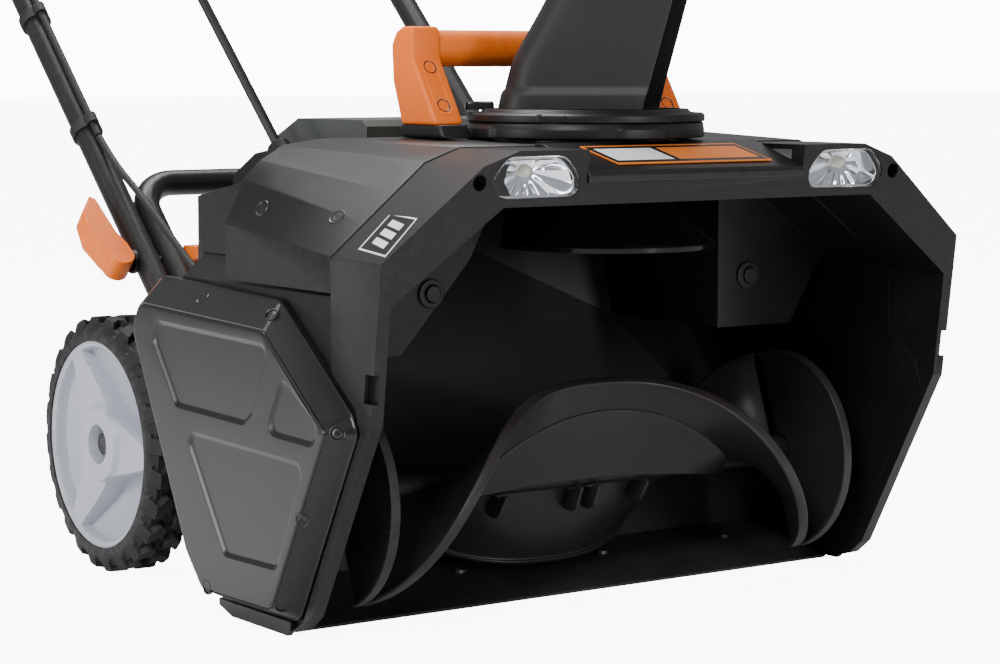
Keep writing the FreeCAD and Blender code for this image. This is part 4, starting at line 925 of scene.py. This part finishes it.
def post_slots():
    """Long recesses in the posts' front slopes, each a rounded strip with a sunk floor."""
    along, up = POST_SLOPE / np.linalg.norm(POST_SLOPE)
    forward = np.array([0.0, -up, along])
    upward = np.array([0.0, along, up])
    foot = np.array([0.0, *POST_FOOT])
    rim = rounded([(-6, 22), (6, 22), (6, 69), (-6, 69)], 5.9, 8)
    for side, word in ((-1, "left"), (1, "right")):
        sections = []
        for move, lift in ((-1.2, -0.6), (-0.9, 0.25), (-0.2, 0.45), (0.6, 0.1), (1.4, -0.5)):
            flat = inset(rim, move)
            sections.append([foot + (side * POST_SIDE + a, 0, 0) + upward * b + forward * lift
                             for a, b in flat])
        strip = loft("post_slot_" + word, np.array(sections) / 1000, 40)
        dress(strip, orange_plastic())


def inlay(name, corners, cut, lift, paint):
    """A thin plate let into a flat quarter: a point is each corner weighted by its share along
    the two directions, and cut holds the share's pairs round the plate's outline."""
    corners = np.asarray(corners, float)
    cut = np.asarray(cut, float)
    u, v = cut[:, :1], cut[:, 1:]
    flat = ((1 - u) * (1 - v) * corners[0] + u * (1 - v) * corners[1]
            + u * v * corners[2] + (1 - u) * v * corners[3])
    across = np.cross(corners[1] - corners[0], corners[3] - corners[0])
    across /= np.linalg.norm(across)
    across *= np.sign(across[2])
    plate = loft(name, np.array([flat - across * 0.5, flat + across * lift]) / 1000, 30)
    return dress(plate, paint)


def shoulder_patch():
    """A plain bordered patch on the frame's left shoulder, with three slanted bars. Its height
    follows the shoulder's slope."""
    corners = [(-262.0, -167), (-231.5, -160), (-229.5, -123), (-258.5, -127)]
    patch = [(x, y, 305.2 + (x + 231.5) * 0.8077) for x, y in corners]
    square = [(0, 0), (1, 0), (1, 1), (0, 1)]
    inlay("patch_border", patch, square, 0.12, pale_paint())
    inlay("patch_field", patch, [(0.04, 0.04), (0.96, 0.04), (0.96, 0.96), (0.04, 0.96)], 0.2,
          cover_plastic())
    for k, start in enumerate((0.16, 0.40, 0.64)):
        inlay("patch_bar_%d" % k, patch, [(start, 0.25), (start + 0.16, 0.25),
                                          (start + 0.22, 0.75), (start + 0.06, 0.75)], 0.28,
              pale_paint())


def lamp_facets():
    """Each lamp's fluted bowl: its depth falls away from the bulb with the distance, and folds
    run out from the bulb as the fixed power of a cosine of the angle."""
    u, v = np.meshgrid(np.linspace(0, 1, 90), np.linspace(0, 1, 48), indexing="ij")
    low_left, low_right, top_left, top_right = -165.0, -106.5, -155.5, -117.0
    z = 318.5 + 24.5 * v
    left = low_left + (top_left - low_left) * np.abs(v - 0.45) * 1.2
    right = low_right + (top_right - low_right) * np.clip(v - 0.15, 0, 1)
    x = left + (right - left) * u
    away_x, away_z = x + 146.0, z - 336.0
    away = np.hypot(away_x, away_z)
    fold = np.abs(np.cos(6.5 * np.arctan2(away_z, away_x)))
    depth = np.clip(1 - away / 44, 0, 1)
    y = -172.4 + 8.6 * np.sqrt(depth) - 1.2 * fold * soft_step(away, 6, 16)
    for side, word in ((-1, "left"), (1, "right")):
        points = np.stack([-side * x, y, z], -1).reshape(-1, 3) / 1000
        bowl = mesh_piece("lamp_bowl_" + word, points, grid_faces(*u.shape), 24)
        facing = sum(p.normal.y * p.area for p in bowl.data.polygons)
        if facing > 0:
            bowl.data.flip_normals()
        dress(bowl, mirror_metal())


def hood_screws():
    """Two sunk screws in the hood's shoulders on each side: dished rings turned round axes that
    stand out of the slope."""
    profile = [(6.4, 0.1), (5.9, 0.55), (5.0, 0.2), (4.6, -0.4), (3.2, -0.4), (2.8, 0.1),
               (1.6, 0.0), (1.4, -0.6), (0.01, -0.6)]
    spots = [((-257.3, 6.1, 305.7), (-0.85, -0.11, 0.51)),
             ((-244.3, -76.4, 302.7), (-0.67, -0.18, 0.72))]
    spots += [((-x, y, z), (-a, b, c)) for (x, y, z), (a, b, c) in spots]
    points, faces = turned_heads(profile, spots, 28, (0, 1, 0))
    dress(mesh_piece("hood_screw_seats", points / 1000, faces, 34), dark_steel())


CHUTE_FOOT = 376.0
CHUTE_LEVELS = np.array([(0, -62, 50), (36, -53, 59.6), (81, -27.5, 71.6), (169, 5.7, 95)], float)


def chute_skin():
    """The spout's walls: at each height an open path from the left front edge round two rounded
    rear corners to the right front edge. The rear and front edges run straight between four
    levels, eased where they meet, and the top is cut on a slant in front of slant_from."""
    rise = np.linspace(0, CHUTE_LEVELS[-1, 0], 57)
    kernel = np.hanning(9) / np.hanning(9).sum()
    back, front = (
        np.convolve(np.pad(np.interp(rise, CHUTE_LEVELS[:, 0], edge), 4, "edge"), kernel, "valid")
        for edge in CHUTE_LEVELS.T[1:])
    half = 47.5 - rise * 0.03
    radius, slant_from = 26.0, 36.0
    skirt = 1.6 * (1 - soft_step(rise, 12, 14.5))
    arc = np.linspace(0, math.pi / 2, 11)
    rows = []
    for i in range(len(rise)):
        wide, rear = half[i] + skirt[i], back[i] - skirt[i]
        side_x = np.linspace(front[i], rear + radius, 15)[:-1]
        corner = np.stack([rear + radius - radius * np.sin(arc),
                           -wide + radius - radius * np.cos(arc)], 1)
        left = np.vstack([np.stack([side_x, np.full(len(side_x), -wide)], 1), corner])
        right = left[::-1] * (1, -1)
        rows.append(np.vstack([left, right]))
    rows = np.array(rows)
    high = CHUTE_FOOT + rise[:, None] + 0 * rows[..., 0]
    top = 547.0 - 72.0 / 124.0 * (rows[..., 0] - slant_from)
    high = np.where(rows[..., 0] > slant_from, np.minimum(high, top), high)
    points = np.stack([*about_chute(rows[..., 0], rows[..., 1], CHUTE_HEADING), high], -1) / 1000
    skin = mesh_piece("chute_spout", points.reshape(-1, 3),
                      grid_faces(len(rise), rows.shape[1]), 42)
    outwards(skin, (0, CHUTE_BACK / 1000, 0))
    thicken(skin, 0.003)
    return place(skin, "chute_body", chute_plastic())


def about_chute(x, y, degrees):
    """Points drawn round the origin, turned by an angle and moved to the chute's upright axis."""
    cos, sin = math.cos(math.radians(degrees)), math.sin(math.radians(degrees))
    return x * cos - y * sin, x * sin + y * cos + CHUTE_BACK


def outwards(obj, centre):
    """Turns an open skin's faces away from a vertical line through centre."""
    mesh = obj.data
    facing = sum((polygon.center - Vector(centre)).xy.dot(polygon.normal.xy) * polygon.area
                 for polygon in mesh.polygons)
    if facing < 0:
        mesh.flip_normals()


def turned_ring(name, profile, around, wave):
    """A closed profile of (radius, height) carried round the chute's axis; wave(angle, profile
    number) is added to the radius."""
    turn = np.linspace(0, 2 * math.pi, around, endpoint=False)
    radius = profile[:, :1] + wave(turn[None, :], np.arange(len(profile))[:, None])
    points = np.stack([radius * np.cos(turn), CHUTE_BACK + radius * np.sin(turn),
                       np.broadcast_to(profile[:, 1:], radius.shape)], -1) / 1000
    return mesh_piece(name, points.reshape(-1, 3),
                      grid_faces(len(profile), around, close_rows=True, close_columns=True), 34)


def chute_rings():
    """The fixed collar and the turning ring on it, each one rounded profile turned round. The
    collar's outer lip swells in four broad lobes; the turning ring is notched in its top."""
    collar = rounded([(72, 354.3), (92.6, 354.3), (92.6, 361.5), (89.2, 365.9), (72, 365.9)],
                     [0.5, 1.6, 1.4, 1.2, 0.5], 5)
    lip = np.abs(collar[:, 0] - 92.0) < 2.0

    def lobes(turn, number):
        swell = soft_step(np.cos(4 * turn + 0.6), 0.55, 0.75)
        return -2.2 * (1 - swell) * lip[number]

    base = turned_ring("chute_collar", collar, 256, lobes)
    place(base, "chute_base_ring", shell_plastic())
    ring = rounded([(72, 366.4), (90.8, 366.4), (90.8, 371.6), (88.6, 373), (80.5, 373.2),
                    (78, 375.9), (72, 375.9)], [0.5, 0.8, 1.2, 0.8, 1.0, 1.0, 0.5], 5)
    edge = ring[:, 0] > 86

    def notches(turn, number):
        return -2.4 * soft_step(np.cos(3 * turn + 1.2), 0.93, 0.96) * edge[number]

    gear = turned_ring("chute_turning_ring", ring, 360, notches)
    place(gear, "chute_gear_ring", shell_plastic())
    latch = rounded([(-92, -11), (-70, -11), (-70, 11), (-92, 11)], 3.0, 5)
    levels = [np.column_stack([*about_chute(*inset(latch, move).T, -33),
                               np.full(len(latch), high)])
              for high, move in ((375.0, 0.0), (379.6, 0.0), (380.8, 0.5), (381.4, 1.6))]
    lug = loft("chute_latch", np.array(levels) / 1000, 34)
    dress(lug, gloss_plastic(), "chute")


def intake_funnel():
    """The funnel: circles whose centre slides back and whose radius shrinks along an eased
    curve from the rim to the throat, with a rolled rim, given a wall."""
    shaft = np.linspace(278.0, 352.4, 40)
    rise = np.concatenate([[272.2, 272.2, 273.2, 275.6, 277.0], shaft])
    grow = np.concatenate([[-0.6, 0.0, 0.0, 0.0, -1.2], 0 * shaft - 1.6])
    lean = np.clip((rise - 277.0) / 40.0, 0, 1)
    lean = lean * (1.5 - 0.5 * lean)
    radius = 82.0 - 19.6 * lean + grow
    centre = -68.0 + 27.4 * lean
    turn = np.linspace(0, 2 * math.pi, 144, endpoint=False)
    points = np.stack([radius[:, None] * np.cos(turn),
                       centre[:, None] + radius[:, None] * np.sin(turn),
                       rise[:, None] + 0 * turn], -1) / 1000
    funnel = mesh_piece("intake_funnel", points.reshape(-1, 3),
                        grid_faces(len(rise), len(turn), close_columns=True), 34)
    outwards(funnel, (0, -0.055, 0))
    thicken(funnel, 0.0026)
    return place(funnel, "intake_cone", gloss_plastic())


def curve_mesh(name, points, radius, around=14):
    """A round tube along a smooth spline through the control points, as a mesh."""
    curve = bpy.data.curves.new(name + "_line", "CURVE")
    curve.dimensions = "3D"
    spline = curve.splines.new("NURBS")
    spline.points.add(len(points) - 1)
    spline.points.foreach_set("co", np.column_stack([points, np.ones(len(points))]).ravel())
    spline.order_u = 3
    spline.use_endpoint_u = True
    spline.resolution_u = 24
    line = bpy.data.objects.new(name + "_line", curve)
    bpy.context.scene.collection.objects.link(line)
    bpy.context.view_layer.update()
    read = bpy.data.meshes.new_from_object(line)
    path = np.array([v.co for v in read.vertices], float)
    bpy.data.objects.remove(line)
    rings = tube_points(path, radius, around)
    return loft(name, rings, 60), path


CABLE_ROUTE = np.array([(-0.202, 0.3786, 0.3479), (-0.202, 0.354, 0.328), (-0.202, 0.303, 0.301),
                        (-0.2, 0.256, 0.27), (-0.198, 0.212, 0.24), (-0.196, 0.1678, 0.222)])


def loose_cable():
    """The control cable's free stretch, bending where the handle folds."""
    radius = 0.003
    cable, path = curve_mesh("control_cable_run", CABLE_ROUTE, radius)
    cable.data.materials.append(soft_rubber())
    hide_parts("control_cable")
    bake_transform(cable)
    return cable


def name_bars():
    """Two slanted bars and a thin border inlaid in the name panel: flat plates whose corners
    are set along the panel and up its slope."""
    slope = np.array([-0.1778, 0.3362]), np.array([-0.1222, 0.3531])
    spec = [(-70, 74, 0.16, 0.84, bar_paint()), (-68.6, 72.6, 0.20, 0.80, cover_plastic()),
            (-64, -12, 0.28, 0.72, pale_paint()), (-7, 68, 0.28, 0.72, bar_paint())]
    for k, (left, right, low, high, paint) in enumerate(spec):
        ends = []
        for share in (low, high):
            level = slope[0] * (1 - share) + slope[1] * share
            lean = 9.0 * (0.5 - share)
            ends.append([((x + lean) / 1000, *level) for x in (left, right)])
        corners = np.array(ends[0] + ends[1][::-1])
        normal = np.array([0, -0.29, 0.957])
        top = corners + normal * (0.00012 + 0.00006 * k)
        bar = loft("name_bar_%d" % k, np.array([corners - normal * 0.0006, top]), 30)
        dress(bar, paint)


def lamp_bulbs():
    """A chip in each lamp with a domed lens: a quarter circle turned round the lamp's axis."""
    sine, rest = quarter(8)
    turn = np.linspace(0, 2 * math.pi, 28, endpoint=False)
    points, faces = [], []
    for k, side in enumerate((-1, 1)):
        radius = (4.6 * (1 - rest))[:, None]
        deep = (-164.0 - 5.2 * sine)[:, None]
        points.append(np.stack([side * 146 + radius * np.cos(turn), deep + 0 * turn,
                                336 + radius * np.sin(turn)], -1).reshape(-1, 3) / 1000)
        faces += grid_faces(len(sine), len(turn), close_columns=True, start=k * points[0].shape[0])
    bulbs = mesh_piece("lamp_bulbs", np.concatenate(points), faces, 60)
    return dress(bulbs, bulb_glow())


SHELL_NODES = {
    "auger_housing": (inner_plastic, 0.0010, "black_shell"),
    "front_frame": (shell_plastic, 0.0022, "black_shell"),
    "hood": (shell_plastic, 0.0070, "black_shell"),
    "rear_body": (shell_plastic, 0.0022, "black_shell"),
    "battery_door": (smoked_plastic, 0.0020, "black_shell"),
    "name_panel": (cover_plastic, 0.0010, "badge_panel"),
    "chute_drive_case": (shell_plastic, 0.0010, "black_shell"),
    "axle_brackets": (shell_plastic, 0.0015, "black_shell"),
    "control_box": (shell_plastic, 0.0030, "black_shell"),
    "rod_bracket": (shell_plastic, 0.0010, "black_shell"),
    "cable_clips": (soft_rubber, 0.0008, "black_shell"),
}
CHUTE_NODES = {
    "chute_deflector": (chute_plastic, 0.0012, "black_shell"),
    "deflector_pins": (dark_steel, 0.0005, "dark_screw"),
}
AUGER_NODES = {
    "auger_end_webs": (auger_plastic, 0.0008, "auger_black"),
    "auger_ribs": (auger_plastic, 0.0006, "auger_black"),
    "auger_shaft": (tube_coat, 0.0005, "black_tube"),
    "auger_pulley": (auger_plastic, 0.0005, "auger_black"),
    "auger_bearings": (inner_plastic, 0.0005, "black_shell"),
    "scraper_bar": (auger_plastic, 0.0006, "auger_black"),
    "skid_shoes": (auger_plastic, 0.0010, "auger_black"),
    "wall_bolts": (shell_plastic, 0.0014, "dark_screw"),
    "motor_case": (cast_metal, 0.0008, "motor_metal"),
    "motor_shaft": (cast_metal, 0.0003, "motor_metal"),
    "drive_belt": (soft_rubber, 0.0003, "soft_black"),
}
LAMP_NODES = {
    "lamp_reflectors": (mirror_metal, 0.0004, "lamp_mirror"),
    "lamp_lenses": (clear_cover, 0.0008, "lamp_glass"),
}
HANDLE_NODES = {
    "lower_handle_tube": (tube_coat, 0.0005, "black_tube"),
    "upper_handle_tube": (tube_coat, 0.0005, "black_tube"),
    "tube_clamps": (tube_coat, 0.0008, "black_tube"),
    "fold_bolts": (dark_steel, 0.0006, "dark_screw"),
    "handle_grip": (soft_rubber, 0.0015, "soft_black"),
    "handle_cable": (soft_rubber, 0.0002, "soft_black"),
    "bail_bar": (tube_coat, 0.0003, "black_tube"),
    "safety_button": (orange_plastic, 0.0010, "orange"),
    "lamp_switch": (shell_plastic, 0.0010, "black_shell"),
    "chute_rod": (tube_coat, 0.0006, "black_tube"),
}
BRIGHT_NODES = {
    "carry_handle_bar": (orange_plastic, 0.0008, "orange"),
    "cam_lever_left": (orange_plastic, 0.0012, "orange"),
    "cam_lever_right": (orange_plastic, 0.0012, "orange"),
    "wing_nut_left": (orange_plastic, 0.0010, "orange"),
    "wing_nut_right": (orange_plastic, 0.0010, "orange"),
}
WHEEL_NODES = {
    "axle": (dark_steel, 0.0005, "dark_screw"),
    "battery_packs": (shell_plastic, 0.0020, "pack_shell"),
    "door_hinge_pin": (dark_steel, 0.0003, "dark_screw"),
}


def refine_all(table):
    """Refines each node of a table of (material, edge width, slot)."""
    for name, (material, width, slot) in table.items():
        refined(name, width, material())


# ---------------------------------------------------------------- operators

class SNOW_OT_shells(bpy.types.Operator):
    """Round and finish the housing, the frame and the covers"""
    bl_idname = "snow.shells"
    bl_label = "Housing and covers"

    def execute(self, context):
        refine_all(SHELL_NODES)
        intake_funnel()
        name_bars()
        shoulder_patch()
        hood_screws()
        side_cover_piece("belt_cover_skin", -1, "belt_cover")
        side_cover_piece("side_cover_skin", 1, "side_cover")
        screw_seats()
        return {"FINISHED"}


class SNOW_OT_chute(bpy.types.Operator):
    """Finish the chute, its rings and its hinged cap"""
    bl_idname = "snow.chute"
    bl_label = "Chute"

    def execute(self, context):
        refine_all(CHUTE_NODES)
        chute_rings()
        chute_skin()
        return {"FINISHED"}


class SNOW_OT_auger(bpy.types.Operator):
    """Finish the auger, the scraper and the drive"""
    bl_idname = "snow.auger"
    bl_label = "Auger and drive"

    def execute(self, context):
        refine_all(AUGER_NODES)
        auger_blade("auger_front_blade", 0.0, "auger_blade_front")
        auger_blade("auger_rear_blade", 180.0, "auger_blade_rear")
        blade_plate()
        return {"FINISHED"}


class SNOW_OT_lamps(bpy.types.Operator):
    """Finish the head lamps"""
    bl_idname = "snow.lamps"
    bl_label = "Head lamps"

    def execute(self, context):
        refine_all(LAMP_NODES)
        lamp_facets()
        lamp_bulbs()
        return {"FINISHED"}


class SNOW_OT_handle(bpy.types.Operator):
    """Finish the push handle and its controls"""
    bl_idname = "snow.handle"
    bl_label = "Push handle"

    def execute(self, context):
        refine_all(HANDLE_NODES)
        loose_cable()
        return {"FINISHED"}


class SNOW_OT_bright(bpy.types.Operator):
    """Finish the carry handle and the clamping levers"""
    bl_idname = "snow.bright"
    bl_label = "Carry handle and levers"

    def execute(self, context):
        refine_all(BRIGHT_NODES)
        carry_posts()
        post_slots()
        return {"FINISHED"}


class SNOW_OT_wheels(bpy.types.Operator):
    """Finish the wheels, the screws and the battery packs"""
    bl_idname = "snow.wheels"
    bl_label = "Wheels and screws"

    def execute(self, context):
        refine_all(WHEEL_NODES)
        for side, name in ((-1, "left"), (1, "right")):
            tyre(side, "tyre_" + name)
            hub(side, "wheel_hub_" + name)
        return {"FINISHED"}


def area_light(name, where, towards, size, energy):
    """A soft box lamp at a place, with its -Z axis towards a point and its Y axis upwards."""
    data = bpy.data.lights.new(name, "AREA")
    data.shape = "RECTANGLE"
    data.size, data.size_y = size
    data.energy = energy
    lamp = bpy.data.objects.new(name, data)
    bpy.context.scene.collection.objects.link(lamp)
    lamp.location = where
    heading = Vector(towards) - Vector(where)
    lamp.rotation_euler = heading.to_track_quat("-Z", "Y").to_euler()


def seen_bright(tree, entry, plain, seen):
    """Sets a strength to one value for the light it casts and another where it is looked at."""
    straight = tree.nodes.new("ShaderNodeLightPath").outputs["Is Camera Ray"]
    tree.links.new(ramp(tree, straight, 0.0, 1.0, plain, seen), entry)


FLOOR_HALF = 30.0
CAST, SEEN = {"floor": 0.0, "sky": 0.36}, {"floor": 9.0, "sky": 12.0}
CAMERA_PITCH, CAMERA_TURN = 5.80379, -35.0


class SNOW_OT_stage(bpy.types.Operator):
    """Set the floor, the soft lights, the sky and the camera"""
    bl_idname = "snow.stage"
    bl_label = "Stage"

    def execute(self, context):
        scene = context.scene
        corners = [(-1, -1, 0), (1, -1, 0), (1, 1, 0), (-1, 1, 0)]
        floor = mesh_piece("studio_floor", FLOOR_HALF * np.array(corners), [[0, 1, 2, 3]])
        floor.data.materials.append(coated(
            "Studio floor", colours().floor, rough=0.6, grain=0.0, dust=0.0, edge_highlight=0.0,
            vary=0.01))
        tree = floor.data.materials[0].node_tree
        shader = tree.nodes["Principled BSDF"]
        shader.inputs["Specular IOR Level"].default_value = 0.1
        shader.inputs["Emission Color"].default_value = (1.0, 1.0, 1.0, 1.0)
        seen_bright(tree, shader.inputs["Emission Strength"], CAST["floor"], SEEN["floor"])
        world = scene.world or bpy.data.worlds.new("Studio sky")
        scene.world = world
        world.use_nodes = True
        sky = world.node_tree.nodes["Background"]
        sky.inputs["Color"].default_value = (1.0, 1.0, 1.0, 1.0)
        seen_bright(world.node_tree, sky.inputs["Strength"], CAST["sky"], SEEN["sky"])
        area_light("key_box", (-2.2, -1.5, 2.1), (0, 0, 0.25), (0.9, 0.9), 62)
        area_light("side_box", (-2.7, 0.6, 0.9), (-0.2, 0.1, 0.2), (0.35, 1.5), 30)
        area_light("top_box", (0.1, 0.9, 2.2), (0, 0, 0.3), (1.6, 0.6), 62)
        area_light("front_strip", (0.5, -2.9, 0.8), (0, 0, 0.2), (0.3, 1.2), 26)
        data = bpy.data.cameras.new("camera")
        data.lens = 94.2
        data.sensor_width = 36
        data.clip_end = 100
        camera = bpy.data.objects.new("camera", data)
        scene.collection.objects.link(camera)
        camera.location = (-1.2024, -1.644, 0.408)
        camera.rotation_euler = (math.radians(90 - CAMERA_PITCH), 0,
                                 math.radians(CAMERA_TURN))
        scene.camera = camera
        return {"FINISHED"}


class SNOW_PT_panel(bpy.types.Panel):
    """Lists the pieces and their settings"""
    bl_idname = "SNOW_PT_panel"
    bl_label = "Snow blower"
    bl_space_type = "VIEW_3D"
    bl_region_type = "UI"
    bl_category = "Snow Blower"

    def draw(self, context):
        for step in STEPS:
            self.layout.operator(step.bl_idname)
        for group in (colours(), sizes()):
            box = self.layout.box()
            for name in group.__annotations__:
                box.prop(group, name)


STEPS = (SNOW_OT_shells, SNOW_OT_chute, SNOW_OT_auger, SNOW_OT_lamps, SNOW_OT_handle,
         SNOW_OT_bright, SNOW_OT_wheels, SNOW_OT_stage)
CLASSES = (SnowBlowerColours, SnowBlowerSizes) + STEPS + (SNOW_PT_panel,)


def register():
    for item in CLASSES:
        bpy.utils.register_class(item)
    bpy.types.Scene.snow_blower_colours = bpy.props.PointerProperty(type=SnowBlowerColours)
    bpy.types.Scene.snow_blower_sizes = bpy.props.PointerProperty(type=SnowBlowerSizes)


def unregister():
    del bpy.types.Scene.snow_blower_sizes
    del bpy.types.Scene.snow_blower_colours
    for item in reversed(CLASSES):
        bpy.utils.unregister_class(item)


def main():
    register()
    for step in STEPS:
        group, name = step.bl_idname.split(".")
        getattr(getattr(bpy.ops, group), name)()


if __name__ == "__main__":
    main()
